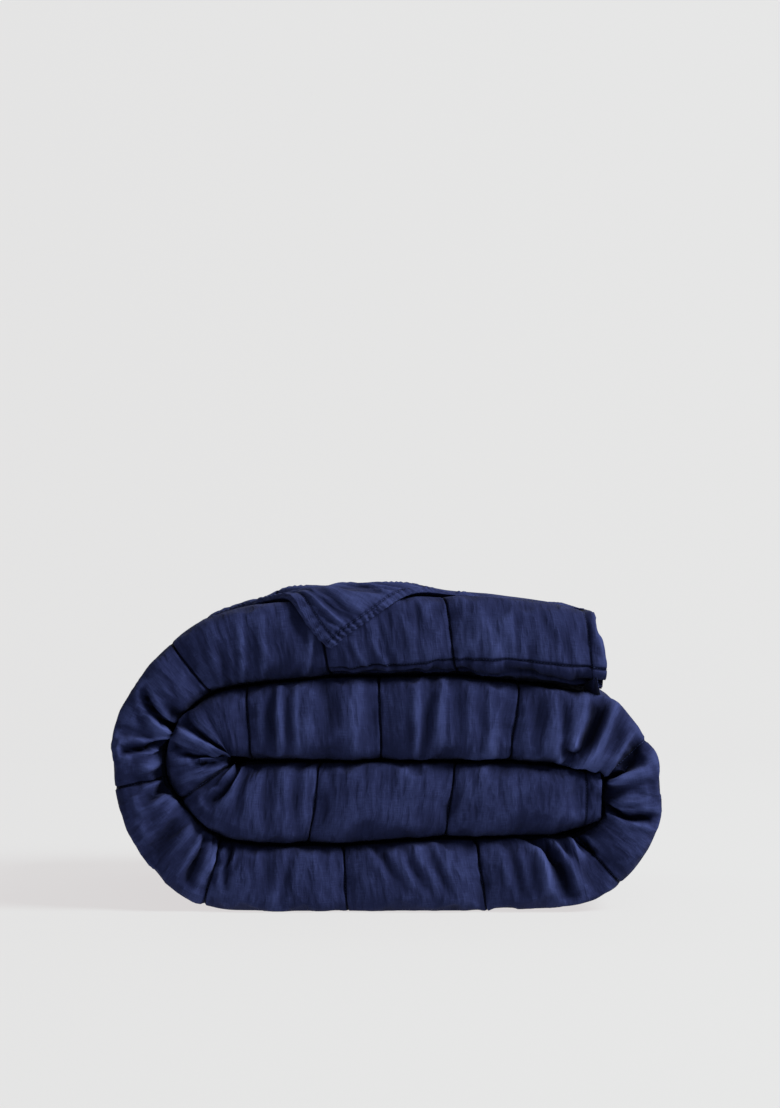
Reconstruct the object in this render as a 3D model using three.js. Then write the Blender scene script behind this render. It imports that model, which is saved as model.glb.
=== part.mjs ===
import * as THREE from 'three';

// A box-stitched linen quilt, folded in quarters lengthwise and rolled flat, its fold to the front.
// Millimetres, +Z up, the fold faces -Y. The roll rests on Z = 0 about the origin.

// The quilt's own sizes.
const STRIP_DEPTH = 500;       // quarter of the quilt's width, front fold to back edge
const PLY_GAP = 1.6;           // air between neighbouring plies of the strip

// Where the origin lies: under the middle of the roll.
const CENTRE_X = 2.1;
const CENTRE_Y = -245.6;

// How the padding is drawn in at its seams.
const SEAM_DIP = 3;            // each face, along a seam across the strip
const SEAM_SPREAD = 20;        // how far from a seam the padding recovers
const NO_SEAM = 180;           // stands for the distance to a seam where there is none
const LONG_SEAM_DIP = 4;       // each face, along a seam that runs with the strip
const HEM_DIP = 5;             // each face, at the stitching of a hem

// The rounded front fold of the four plies.
const FOLD_REACH = 40;         // depth of the rounding
const FOLD_POWER = 2.7;        // 2 is an ellipse, more is squarer
const SWELL_GAP = 2.4;         // behind the fold the plies swell until this much air is left
const MOST_SWELL = 8;          // at most this much on each face
const SWELL_REACH = 30;        // faces farther apart than this lie on the outside of the roll

const FOLD_FACETS = 8;
const FOLD_DROP = 1;           // the rounding starts this much below the faces it joins
const HELD_REACH = 22;         // and of the two plies held inside it
const OUTER_REACH = 28;        // and of the outer ply's own inner face
const INNER_FACETS = 4;        // facets of each of those two roundings

// How the stations along the strip are spaced, and which of them are too near to be another wrap.
const CROWDING = 0.55;         // how much closer they stand beside a seam
const NEXT_STATIONS = 4;       // nearer ones on the path aren't looked at
const SAME_TURN = 10;          // nearer ones lie in the same turn

// The strip's face from back to front: how far back, as a share of its depth, and how far it dips.
const FACE = [
  { back: 0.94, dip: HEM_DIP },
  { back: 0.8, dip: 0 },
  { back: 0.65, dip: LONG_SEAM_DIP },
  { back: 0.5, dip: 0 },
  { back: 0.36, dip: LONG_SEAM_DIP },
  { back: 0.22, dip: 0 },
];

// Its back: the rounded fold of the two inner plies, the free hems of the two outer ones.
const BACK_FOLD = [
  { short: 1, level: -0.8 },
  { short: 0, level: -0.5 },
  { short: 4, level: -0.16 },
];
const HEM_SETBACK = 6;         // the free hems end this far short of the fold
const BACK_HEM = 0.94;         // where their stitching draws them in, as a share of the depth
const BACK_SLIT = 0.93;        // how far back the slit inside that fold goes
const SLIT_ROUND = 8;          // depth of the slit's rounded end
const SLIT_MIDDLE = 0.5;       // where the outer ply's inner face has a point between its ends
const CROTCH = 2.3;            // plies between the front and the crotch of the held plies
const HELD_SHORT = 4;          // the held ply's free edge ends this far short of the outer hem
const HELD_TAPER = 12;         // its lower face starts to rise here
const HELD_BEVEL = 2;          // height of the bevels of its edge
const HELD_THIN = 4;           // how much thinner it is at its hem's stitching
const HELD_FULL = 0.8;         // where it has its full thickness, as a share of the depth

// The strip's path, inner end to outer end. A rib is one place on it: the middle of the four plies,
// their thickness, which way the path runs there and how far the front fold is tucked in. Seams draw
// the padding in, the ribs between them are the middles of boxes that lie in a turn.
const RIBS = [
  { at: 'inner edge', x: 221.0, z: 116.5, thick: 40, runs: 180, lean: 0, tuck: 14, seam: 0, steps: 1 },
  { at: 'inner hem', x: 205.9, z: 116.5, thick: 58, runs: 180, lean: 0, tuck: 9, seam: 1, steps: 4 },
  { at: 'seam 15', x: 65.3, z: 114.4, thick: 76, runs: 179, lean: 0, tuck: 7, seam: 1, steps: 4 },
  { at: 'seam 14', x: -75.8, z: 111.3, thick: 83, runs: 180, lean: 0, tuck: 7, seam: 1, steps: 6 },
  { at: 'seam 13', x: -189.1, z: 133.2, thick: 64, runs: 125, lean: 0, tuck: 10, seam: 1, steps: 3 },
  { at: 'inner left turn', x: -196.5, z: 157.3, thick: 62, runs: 90, lean: 0, tuck: 5, seam: 0, steps: 3 },
  { at: 'inner left turn, top', x: -181.3, z: 185.5, thick: 62, runs: 37, lean: 0, tuck: 7, seam: 0, steps: 3 },
  { at: 'seam 12', x: -144.7, z: 193.3, thick: 70, runs: 5, lean: 0, tuck: 8, seam: 1, steps: 4 },
  { at: 'seam 11', x: -7.8, z: 198.5, thick: 86, runs: 1, lean: 0, tuck: 7, seam: 1, steps: 4 },
  { at: 'seam 10', x: 132.2, z: 196.5, thick: 79, runs: -3, lean: 0, tuck: 7, seam: 1, steps: 3 },
  { at: 'right shoulder', x: 214.1, z: 185.4, thick: 78, runs: -24, lean: 0, tuck: 3, seam: 0, steps: 3 },
  { at: 'seam 9', x: 250.5, z: 161.6, thick: 61.5, runs: -47, lean: 0, tuck: 8, seam: 1, steps: 3 },
  { at: 'right turn', x: 263.3, z: 115.5, thick: 57.5, runs: -90, lean: 0, tuck: 3, seam: 0, steps: 3 },
  { at: 'seam 8', x: 224.8, z: 46.8, thick: 66, runs: -137, lean: 0, tuck: 8, seam: 1, steps: 5 },
  { at: 'seam 7', x: 97.7, z: 34.0, thick: 77, runs: 180, lean: 0, tuck: 7, seam: 1, steps: 4 },
  { at: 'seam 6', x: -43.4, z: 29.8, thick: 71, runs: 180, lean: 0, tuck: 7, seam: 1, steps: 4 },
  { at: 'seam 5', x: -182.7, z: 37.2, thick: 68, runs: 166, lean: 0, tuck: 9, seam: 1, steps: 3 },
  { at: 'left turn, low', x: -228.7, z: 70.5, thick: 68, runs: 131, lean: 0, tuck: 4, seam: 0, steps: 3 },
  { at: 'seam 4', x: -263.8, z: 130.9, thick: 53, runs: 101, lean: 0, tuck: 8, seam: 1, steps: 3 },
  { at: 'left turn, high', x: -249.9, z: 208.9, thick: 58, runs: 53, lean: 0, tuck: 9, seam: 0, steps: 3 },
  { at: 'seam 3', x: -205.2, z: 252.5, thick: 64, runs: 38, lean: 0, tuck: 9, seam: 1, steps: 5 },
  { at: 'seam 2', x: -67.4, z: 283.7, thick: 78, runs: 4, lean: 0, tuck: 3, seam: 1, steps: 4 },
  { at: 'seam 1', x: 65.3, z: 286.3, thick: 80, runs: -2, lean: 0, tuck: 6, seam: 1, steps: 4 },
  { at: 'outer hem', x: 210.0, z: 271.2, thick: 82, runs: -6, lean: 14, tuck: 6, seam: 1, steps: 1 },
  { at: 'outer edge', x: 222.1, z: 267.5, thick: 71, runs: -12, lean: 20, tuck: 9, seam: 0, steps: 1 },
];
const HEART_RIBS = [4, 5, 6];  // the tightest turn, whose inner face is already pinched shut

// The corner turned back over the roll. Its outline is measured on the strip's outer face: along is
// the distance from the outer end, back is the distance from the front fold.
const CORNER_TIP = { along: 289, back: -34 };
const CREASE_OUTER = { along: 14, back: 156 };
const CREASE_BACK = { along: 606, back: 484 };
const END_SAG = 14;            // how far its shorter hem sags toward the front
const CORNER_PLY = 14.5;       // padding of the turned ply where it stands up
const CORNER_PRESSED = 6.5;     // and where it lies wound tight round the turn
const CORNER_HEM_PLY = 5.5;    // its thickness at the hemmed edges
const CORNER_CLEAR = 2.6;      // air between its edges and the roll
const CORNER_SINKS = 1.5;       // more air under its middle
const CORNER_COLUMNS = 19;
const CORNER_ROWS = 16;
const COLUMNS_CROWD = 0.7;     // how much closer its columns stand beside the two edges
const ROWS_CROWD = 0.3;
const TIP_START = 0.012;       // first and last row, as shares of the way from tip to crease
const ROWS_END = 0.93;
const CORNER_SLOPE = 0.75;     // distance from an edge, per distance along a row
const HEM_FULL = 8;            // from an edge: where the padding starts, and where it is full
const PADDING_FULL = 52;
const TIP_FULL = 0.16;         // share of the way from the tip where the padding is full
const SINK_REACH = 46;         // how far inside the edges the roll is pressed in fully
const SINK_START = 6;          // and how far outside them that starts
const SINK_EARLY = 26;         // more room outside where the corner lies round the turn
const EARLY_OUT = [190, 110];  // along: toward the outer end that room starts, and is full
const EARLY_BACK = [300, 400]; // and toward the left turn
const FRONT_CLEAR = [50, 10];  // back: the same air as under its middle from here to the front
const LOOSE_REACH = 40;        // the seams under it fade over this distance
const CORNER_STANDS = 15;      // how far it stands up out of the roll at its middle
const CREASE_ROLL = 15;        // the rolled crease laps this far past the ply it turns from
const CREASE_SHORT = 8;        // that ply ends this far short of the crease
const STANDS_FROM = 125;       // along: where the corner rises out of the roll
const STANDS_FULL = 222;
const STANDS_FADE = 318;
const STANDS_TO = 392;

// The rolled crease: rows set back from the crease above and below, how far the upper one drops,
// and whether the lower one lies on the ply below.
const CREASE = [
  { upBack: -12, upDrop: 0, downBack: -12, onPly: false },
  { upBack: -2, upDrop: 0.5, downBack: -4.5, onPly: false },
  { upBack: 8, upDrop: 4, downBack: -4, onPly: true },
  { upBack: CREASE_ROLL, upDrop: 12, downBack: 8, onPly: true },
];

const NAVY = 0x232a49;
const NAVY_TURNED = 0x262d4e;

const rad = (deg) => (deg * Math.PI) / 180;

// 0 at from, 1 at to, eased between and held beyond.
function smooth(from, to, value) {
  const f = Math.min(1, Math.max(0, (value - from) / (to - from)));
  return f * f * (3 - 2 * f);
}

// The point of the path a fraction f of the way from one rib to the next.
function between(a, b, f) {
  const chord = Math.hypot(b.x - a.x, b.z - a.z);
  const turn = rad((((b.runs - a.runs + 180) % 360) + 360) % 360 - 180);
  const pull = Math.abs(turn) < 1e-3 ? chord : (chord * turn) / 2 / Math.sin(turn / 2);
  const h1 = 2 * f ** 3 - 3 * f ** 2 + 1;
  const h2 = f ** 3 - 2 * f ** 2 + f;
  const h3 = f ** 3 - f ** 2;
  const dirA = [Math.cos(rad(a.runs)) * pull, Math.sin(rad(a.runs)) * pull];
  const dirB = [Math.cos(rad(b.runs)) * pull, Math.sin(rad(b.runs)) * pull];
  const x = h1 * a.x + h2 * dirA[0] + (1 - h1) * b.x + h3 * dirB[0];
  const z = h1 * a.z + h2 * dirA[1] + (1 - h1) * b.z + h3 * dirB[1];
  const g1 = 6 * f * f - 6 * f;
  const g2 = 3 * f * f - 4 * f + 1;
  const g3 = 3 * f * f - 2 * f;
  const dx = g1 * a.x + g2 * dirA[0] - g1 * b.x + g3 * dirB[0];
  const dz = g1 * a.z + g2 * dirA[1] - g1 * b.z + g3 * dirB[1];
  const blend = f * f * (3 - 2 * f);
  const lean = a.lean + (b.lean - a.lean) * blend;
  const face = Math.atan2(dz, dx) + rad(90 + lean);
  const near = Math.min(a.seam ? f * chord : NO_SEAM, b.seam ? (1 - f) * chord : NO_SEAM);
  const rise = 1 - Math.exp(-((near / SEAM_SPREAD) ** 2));
  const tuckA = a.seam ? a.tuck * Math.exp(-(((f * chord) / SEAM_SPREAD) ** 2)) : a.tuck * (1 - blend);
  const far = (1 - f) * chord;
  const tuckB = b.seam ? b.tuck * Math.exp(-((far / SEAM_SPREAD) ** 2)) : b.tuck * blend;
  return {
    x,
    z,
    out: [Math.cos(face), Math.sin(face)],
    half: (a.thick + (b.thick - a.thick) * blend) / 2 - SEAM_DIP * (1 - rise),
    tuck: Math.max(tuckA, tuckB),
  };
}

const facePoint = (station, side) => [
  station.x + station.out[0] * station.half * side,
  station.z + station.out[1] * station.half * side,
];

// The air between one face of the strip and the next wrap beyond that face.
function nearestFace(list, index, side) {
  const [px, pz] = facePoint(list[index], side);
  let least = Infinity;
  let nearby = false;
  list.forEach((station, i) => {
    if (i === 0 || Math.abs(i - index) < NEXT_STATIONS) {
      return;
    }
    [1, -1].forEach((other) => {
      const [ax, az] = facePoint(list[i - 1], other);
      const [bx, bz] = facePoint(station, other);
      const size = (bx - ax) ** 2 + (bz - az) ** 2;
      const f = Math.min(1, Math.max(0, ((px - ax) * (bx - ax) + (pz - az) * (bz - az)) / size));
      const gx = ax + (bx - ax) * f - px;
      const gz = az + (bz - az) * f - pz;
      const ahead = (gx * list[index].out[0] + gz * list[index].out[1]) * side;
      const air = Math.hypot(gx, gz);
      if (ahead > 0 && air < least) {
        least = air;
        nearby = Math.abs(i - index) < SAME_TURN;
      }
    });
  });
  return nearby ? 0 : least;
}

// Stations along the strip, closer beside a seam.
function stations() {
  const list = [];
  RIBS.slice(0, -1).forEach((rib, i) => {
    const next = RIBS[i + 1];
    for (let k = 0; k < rib.steps; k += 1) {
      const even = k / rib.steps;
      const crowd = (Math.sin(2 * Math.PI * even) / (2 * Math.PI)) * CROWDING;
      const f = rib.seam && next.seam ? even + crowd : even;
      list.push({ ...between(rib, next, f), heart: HEART_RIBS.includes(i) });
    }
  });
  const last = RIBS.length - 1;
  list.push(between(RIBS[last - 1], RIBS[last], 1));
  list.forEach((station, i) => {
    [1, -1].forEach((side) => {
      const air = nearestFace(list, i, side);
      const shut = air > SWELL_REACH || (station.heart && side < 0);
      const swell = shut ? 0 : Math.min(MOST_SWELL, Math.max(0, (air - SWELL_GAP) / 2));
      station[side > 0 ? 'swellOut' : 'swellIn'] = swell;
    });
  });
  return list;
}

// Distance from the outer end, measured on the outer face, for each station of a list.
function alongs(list) {
  const out = new Array(list.length).fill(0);
  for (let i = list.length - 2; i >= 0; i -= 1) {
    const a = list[i];
    const b = list[i + 1];
    const ax = a.x + a.out[0] * a.half;
    const az = a.z + a.out[1] * a.half;
    const bx = b.x + b.out[0] * b.half;
    const bz = b.z + b.out[1] * b.half;
    out[i] = out[i + 1] + Math.hypot(ax - bx, az - bz);
  }
  return out;
}

// Where the crease, the long edge and the end edge of the turned corner lie at a distance along.
const creaseBack = (along) => CREASE_OUTER.back
  + ((along - CREASE_OUTER.along) * (CREASE_BACK.back - CREASE_OUTER.back))
  / (CREASE_BACK.along - CREASE_OUTER.along);

function edgeBack(along) {
  const end = along < CORNER_TIP.along ? CREASE_OUTER : CREASE_BACK;
  const f = (along - CORNER_TIP.along) / (end.along - CORNER_TIP.along);
  const sag = end === CREASE_OUTER ? END_SAG * Math.sin(Math.PI * Math.min(1, f)) : 0;
  return CORNER_TIP.back + f * (end.back - CORNER_TIP.back) - sag;
}

const stands = (along) => CORNER_STANDS
  * smooth(STANDS_FROM, STANDS_FULL, along)
  * (1 - smooth(STANDS_FADE, STANDS_TO, along));

const cornerPly = (along) => CORNER_PRESSED
  + ((CORNER_PLY - CORNER_PRESSED) * stands(along)) / CORNER_STANDS;

// How far the outer ply is pressed in under the turned corner.
function pressed(along, back) {
  if (along > CREASE_BACK.along) {
    return 0;
  }
  const early = SINK_EARLY * (smooth(...EARLY_BACK, along) + smooth(...EARLY_OUT, along));
  const inside = smooth(-SINK_START - early, SINK_REACH - early, back - edgeBack(along));
  return (cornerPly(along) + CORNER_CLEAR - stands(along) + CORNER_SINKS) * inside;
}

// The rounded front of a fold: offsets from the strip's middle and depths behind its front.
function frontArc(half, reach, start, count) {
  return Array.from({ length: count + 1 }, (_, k) => {
    const angle = Math.PI / 2 - (Math.PI * k) / count;
    const up = Math.sign(Math.sin(angle)) * Math.abs(Math.sin(angle)) ** (2 / FOLD_POWER);
    const fore = Math.abs(Math.cos(angle)) ** (2 / FOLD_POWER);
    return [start + reach * (1 - fore), up * half];
  });
}

// One section across the strip, as one closed line round a single ply that goes back and forth:
// outer ply, round the front, innermost ply, round the back, then the two plies held inside them.
function section(station, along) {
  const { half, tuck } = station;
  const ply = half / 2;
  const slit = PLY_GAP / 2;
  const hemEnd = STRIP_DEPTH - HEM_SETBACK;
  const turned = along < CREASE_BACK.along;
  const plyEnd = turned ? creaseBack(along) - CREASE_SHORT : hemEnd;
  const rounded = FOLD_REACH + tuck;
  const share = (depth) => rounded + ((depth - rounded) * (plyEnd - rounded)) / (hemEnd - rounded);
  const loose = (depth) => (turned ? 1 - smooth(-LOOSE_REACH, 0, depth - edgeBack(along)) : 1);
  const line = [];

  // The outer ply from its free edge to the front, round the fold and back along the inner face.
  [{ back: hemEnd / STRIP_DEPTH, dip: HEM_DIP }, ...FACE].forEach(({ back, dip }) => {
    const depth = share(back * STRIP_DEPTH);
    const sunk = dip * loose(depth) + pressed(along, depth);
    line.push([depth, half + station.swellOut - sunk]);
  });
  frontArc(half - FOLD_DROP, FOLD_REACH, tuck, FOLD_FACETS).forEach(([depth, offset], i) => {
    line.push([depth, i === 0 ? offset - pressed(along, depth) : offset]);
  });
  [...FACE].reverse().forEach(({ back, dip }) => {
    line.push([back * STRIP_DEPTH, dip - half - station.swellIn]);
  });

  // Round the back fold and forward to the crotch of the two held plies.
  BACK_FOLD.forEach(({ short, level }) => line.push([STRIP_DEPTH - short, level * half]));
  line.push([STRIP_DEPTH * BACK_HEM, -slit]);
  line.push([tuck + ply * CROTCH, -slit]);
  line.push([tuck + ply * CROTCH, slit]);

  // The free edge of the held ply, its other face and its fold at the front.
  line.push([hemEnd - HELD_TAPER, slit]);
  line.push([hemEnd - HELD_SHORT, slit + HELD_BEVEL]);
  line.push([hemEnd - HELD_SHORT, ply - slit - HELD_BEVEL]);
  line.push([STRIP_DEPTH * BACK_HEM, ply - slit - HELD_THIN]);
  line.push([STRIP_DEPTH * HELD_FULL, ply - slit]);
  line.push(...frontArc(ply - slit, HELD_REACH, tuck + ply + slit, INNER_FACETS));

  // The slit that parts the held plies from the outer one, back to the free edge.
  line.push([STRIP_DEPTH * BACK_SLIT, slit - ply]);
  line.push([STRIP_DEPTH * BACK_SLIT + SLIT_ROUND, -ply]);
  line.push([STRIP_DEPTH * BACK_SLIT, -slit - ply]);
  line.push(...frontArc(ply + slit, OUTER_REACH, tuck + ply - slit, INNER_FACETS).reverse());
  [SLIT_MIDDLE, BACK_HEM, hemEnd / STRIP_DEPTH].forEach((back) => {
    line.push([share(back * STRIP_DEPTH), ply + slit]);
  });
  return line;
}

function place(station, depth, offset) {
  const z = Math.max(0, station.z + station.out[1] * offset);
  return [station.x + station.out[0] * offset + CENTRE_X, depth + CENTRE_Y, z];
}

function meshOf(name, points, faces, colour) {
  const geometry = new THREE.BufferGeometry();
  geometry.setAttribute('position', new THREE.Float32BufferAttribute(points.flat(), 3));
  geometry.setIndex(faces.flat());
  geometry.computeVertexNormals();
  const material = new THREE.MeshStandardMaterial({ color: colour, roughness: 0.9 });
  material.name = `${name}_linen`;
  const mesh = new THREE.Mesh(geometry, material);
  mesh.name = name;
  return mesh;
}

function quiltRoll() {
  const list = stations();
  const along = alongs(list);
  const sections = list.map((station, i) => section(station, along[i]));
  const count = sections[0].length;
  const points = [];
  sections.forEach((line, i) => line.forEach(([d, n]) => points.push(place(list[i], d, n))));
  const faces = [];
  for (let i = 0; i < list.length - 1; i += 1) {
    for (let k = 0; k < count; k += 1) {
      const a = i * count + k;
      const b = i * count + ((k + 1) % count);
      const c = a + count;
      const d = b + count;
      if ((i + k) % 2) {
        faces.push([a, b, c], [b, d, c]);
      } else {
        faces.push([a, b, d], [a, d, c]);
      }
    }
  }
  const cap = (i, flip) => {
    const outline = sections[i].map(([d, n]) => new THREE.Vector2(d, n));
    THREE.ShapeUtils.triangulateShape(outline, []).forEach(([a, b, c]) => {
      const base = i * count;
      faces.push(flip ? [base + a, base + c, base + b] : [base + a, base + b, base + c]);
    });
  };
  cap(0, true);
  cap(list.length - 1, false);
  return meshOf('quilt_roll', points, faces, NAVY);
}

// The outer face of the roll near a station: how far back each of its points is, measured over the
// front fold, with the way out of the face there.
function outerFace(line) {
  const flat = FACE.length + 2;
  const top = line.slice(0, flat + FOLD_FACETS / 2);
  let back = 0;
  return top.map(([d, n], i) => {
    back = i < flat ? d : back - Math.hypot(d - top[i - 1][0], n - top[i - 1][1]);
    const a = top[Math.max(0, i - 1)];
    const b = top[Math.min(top.length - 1, i + 1)];
    const size = Math.hypot(b[0] - a[0], b[1] - a[1]);
    return { back, d, n, outD: (b[1] - a[1]) / size, outN: (a[0] - b[0]) / size };
  });
}

function onFace(face, back) {
  let i = 0;
  while (i < face.length - 2 && face[i + 1].back > back) {
    i += 1;
  }
  const a = face[i];
  const b = face[i + 1];
  const f = (back - a.back) / (b.back - a.back);
  const mix = (key) => a[key] + (b[key] - a[key]) * f;
  return { d: mix('d'), n: mix('n'), outD: mix('outD'), outN: mix('outN') };
}

// Places from one value to another, closer at both ends as crowding goes up.
function spread(count, from, to, crowding) {
  return Array.from({ length: count }, (_, i) => {
    const f = i / (count - 1);
    const bent = f - (Math.sin(2 * Math.PI * f) / (2 * Math.PI)) * crowding;
    return from + (to - from) * bent;
  });
}

// The loose hemmed corner, from its tip over the front fold back to its rolled crease. Rows run
// parallel to the crease, columns fan out from the tip between the two hemmed edges.
function turnedCorner() {
  const list = stations();
  const along = alongs(list);
  const faces = list.map((station, i) => outerFace(section(station, along[i])));
  const at = (x, level) => {
    let i = 0;
    while (i < along.length - 2 && along[i + 1] > x) {
      i += 1;
    }
    const f = Math.min(1, Math.max(0, (along[i] - x) / (along[i] - along[i + 1])));
    const ends = [i, i + 1].map((k) => {
      const { d, n } = level(faces[k], list[k]);
      return place(list[k], d, n);
    });
    return ends[0].map((value, k) => value + (ends[1][k] - value) * f);
  };
  const over = (x, back, rise) => at(x, (face) => {
    const p = onFace(face, back);
    return { d: p.d + p.outD * rise, n: p.n + p.outN * rise };
  });
  const columns = spread(CORNER_COLUMNS, 0, 1, COLUMNS_CROWD);
  const rows = spread(CORNER_ROWS, TIP_START, ROWS_END, ROWS_CROWD);
  const top = [];
  const under = [];
  const tip = CORNER_TIP;
  rows.forEach((r) => {
    const upper = [];
    const lower = [];
    columns.forEach((q) => {
      const edgeX = CREASE_OUTER.along + (CREASE_BACK.along - CREASE_OUTER.along) * q;
      const edgeB = CREASE_OUTER.back + (CREASE_BACK.back - CREASE_OUTER.back) * q;
      const x = tip.along + (edgeX - tip.along) * r;
      const sag = END_SAG * Math.sin(Math.PI * r) * (1 - q) ** 3;
      const back = tip.back + (edgeB - tip.back) * r - sag;
      const width = Math.hypot(CREASE_BACK.along, CREASE_BACK.back - CREASE_OUTER.back) * r;
      const inset = Math.min(q, 1 - q) * width * CORNER_SLOPE;
      const full = smooth(HEM_FULL, PADDING_FULL, inset) * smooth(0, TIP_FULL, r);
      const ply = CORNER_HEM_PLY + (cornerPly(x) - CORNER_HEM_PLY) * full;
      const clear = CORNER_CLEAR + CORNER_SINKS * (smooth(0, SINK_REACH, back - edgeBack(x))
        + smooth(...FRONT_CLEAR, back));
      lower.push(over(x, back, clear));
      upper.push(over(x, back, clear + ply));
    });
    top.push(upper);
    under.push(lower);
  });
  CREASE.forEach((row) => {
    const upper = [];
    const lower = [];
    columns.forEach((q) => {
      const x = CREASE_OUTER.along + (CREASE_BACK.along - CREASE_OUTER.along) * q;
      const edge = CREASE_OUTER.back + (CREASE_BACK.back - CREASE_OUTER.back) * q;
      const level = (face, station, rise, drop) => {
        const p = onFace(face, edge + CREASE[0].upBack);
        const low = station.half / 2 - PLY_GAP / 2 + CORNER_CLEAR;
        return { high: p.n + rise - drop, low };
      };
      const rise = CORNER_CLEAR + CORNER_SINKS + cornerPly(x);
      upper.push(at(x, (face, station) => (
        { d: edge + row.upBack, n: level(face, station, rise, row.upDrop).high })));
      lower.push(at(x, (face, station) => {
        const { high, low } = level(face, station, CORNER_CLEAR + CORNER_SINKS, 0);
        return { d: edge + row.downBack, n: row.onPly ? low : high };
      }));
    });
    top.push(upper);
    under.push(lower);
  });
  const wide = columns.length;
  const deep = top.length;
  const points = [...top.flat(), ...under.flat()];
  const id = (side, i, k) => side * wide * deep + i * wide + k;
  const quads = [];
  for (let i = 0; i < deep - 1; i += 1) {
    for (let k = 0; k < wide - 1; k += 1) {
      quads.push([id(0, i, k), id(0, i + 1, k), id(0, i + 1, k + 1), id(0, i, k + 1)]);
      quads.push([id(1, i, k), id(1, i, k + 1), id(1, i + 1, k + 1), id(1, i + 1, k)]);
    }
    quads.push([id(0, i, 0), id(1, i, 0), id(1, i + 1, 0), id(0, i + 1, 0)]);
    const e = wide - 1;
    quads.push([id(0, i, e), id(0, i + 1, e), id(1, i + 1, e), id(1, i, e)]);
  }
  for (let k = 0; k < wide - 1; k += 1) {
    quads.push([id(0, 0, k), id(0, 0, k + 1), id(1, 0, k + 1), id(1, 0, k)]);
    const e = deep - 1;
    quads.push([id(0, e, k), id(1, e, k), id(1, e, k + 1), id(0, e, k + 1)]);
  }
  const triangles = quads.flatMap(([a, b, c, d]) => [[a, b, c], [a, c, d]]);
  return meshOf('turned_corner', points, triangles, NAVY_TURNED);
}

const quilt = new THREE.Group();
quilt.name = 'linen_quilt';
quilt.add(quiltRoll(), turnedCorner());

export default quilt;
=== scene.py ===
"""A box-stitched linen quilt, folded in quarters and rolled flat, with one hemmed corner turned back.

Metres, +Z up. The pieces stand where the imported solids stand; sizes in the tables are millimetres.
"""

import math
from collections import namedtuple

import bpy
import numpy as np
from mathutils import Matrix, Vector


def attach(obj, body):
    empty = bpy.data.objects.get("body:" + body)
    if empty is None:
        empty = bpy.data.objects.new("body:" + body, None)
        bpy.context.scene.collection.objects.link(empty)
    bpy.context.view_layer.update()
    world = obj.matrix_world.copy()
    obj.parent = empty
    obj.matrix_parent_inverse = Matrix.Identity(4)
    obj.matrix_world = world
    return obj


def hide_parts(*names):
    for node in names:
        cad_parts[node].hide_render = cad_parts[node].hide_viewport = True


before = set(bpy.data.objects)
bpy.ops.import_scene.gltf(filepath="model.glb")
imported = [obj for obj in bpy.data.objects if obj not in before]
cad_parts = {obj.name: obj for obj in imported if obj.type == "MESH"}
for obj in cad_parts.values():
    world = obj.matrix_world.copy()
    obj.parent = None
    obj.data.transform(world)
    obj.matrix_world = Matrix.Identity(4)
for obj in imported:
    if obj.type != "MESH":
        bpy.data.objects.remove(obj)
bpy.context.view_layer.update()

# ------------------------------------------------------------------------------- the rolled quilt
# A quilt of washed linen over cotton wadding, sewn through in 140 mm boxes, 16 along and 14 across,
# with a 16 mm hem all round. It is folded in quarters lengthwise and rolled up flat, its front fold
# toward the camera. The whole of it is one padded sheet, of which both faces are modelled.

MM = 0.001
BOX = 140.0                    # side of a sewn box
BOXES_ALONG = 16
BOXES_ACROSS = 14
HEM_WIDTH = 16.0
STRIP_DEPTH = 500.0            # a quarter of the quilt's width, front fold to back edge
SLIT = 0.8                     # half the air between neighbouring plies
CENTRE_X = 2.1                 # the path's own zero, in the frame
CENTRE_Y = -245.6              # the front fold, in the frame

SEAM_DIP = 1.8                 # how far a seam across the strip draws each face in
SEAM_SPREAD = 20.0             # how far from a seam the padding recovers
FOLD_REACH = 40.0              # depth of the rounded front fold
FOLD_POWER = 4.0               # 2 is an ellipse, more is squarer
HELD_REACH = 22.0              # the same for the two plies held inside
OUTER_REACH = 28.0             # and for the inside of the outer ply
CROTCH = 2.3                   # plies between the front and the crotch of the held plies
BACK_REACH = 14.0              # depth of the rounded back fold
BACK_SLIT = 465.0              # depth of the slit inside the back fold
BACK_BULGE = 8.0               # how round its end is
HEM_SETBACK = 6.0              # the free hems end this far short of the back fold

SWELL_GAP = 0.5                # behind the fold the wraps swell until this much air is left
MOST_SWELL = 13.0
SWELL_REACH = 30.0             # faces with more air than this lie on the outside of the roll
NEXT_COLUMNS = 4               # nearer ones on the path aren't looked at
SAME_TURN = 10                 # nearer ones lie in the same turn
SLIM_TURN = (1268, 1290, 1325, 1350)     # along: the shoulder of the right turn hardly swells
SLIM_SHARE = 0.85

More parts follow.
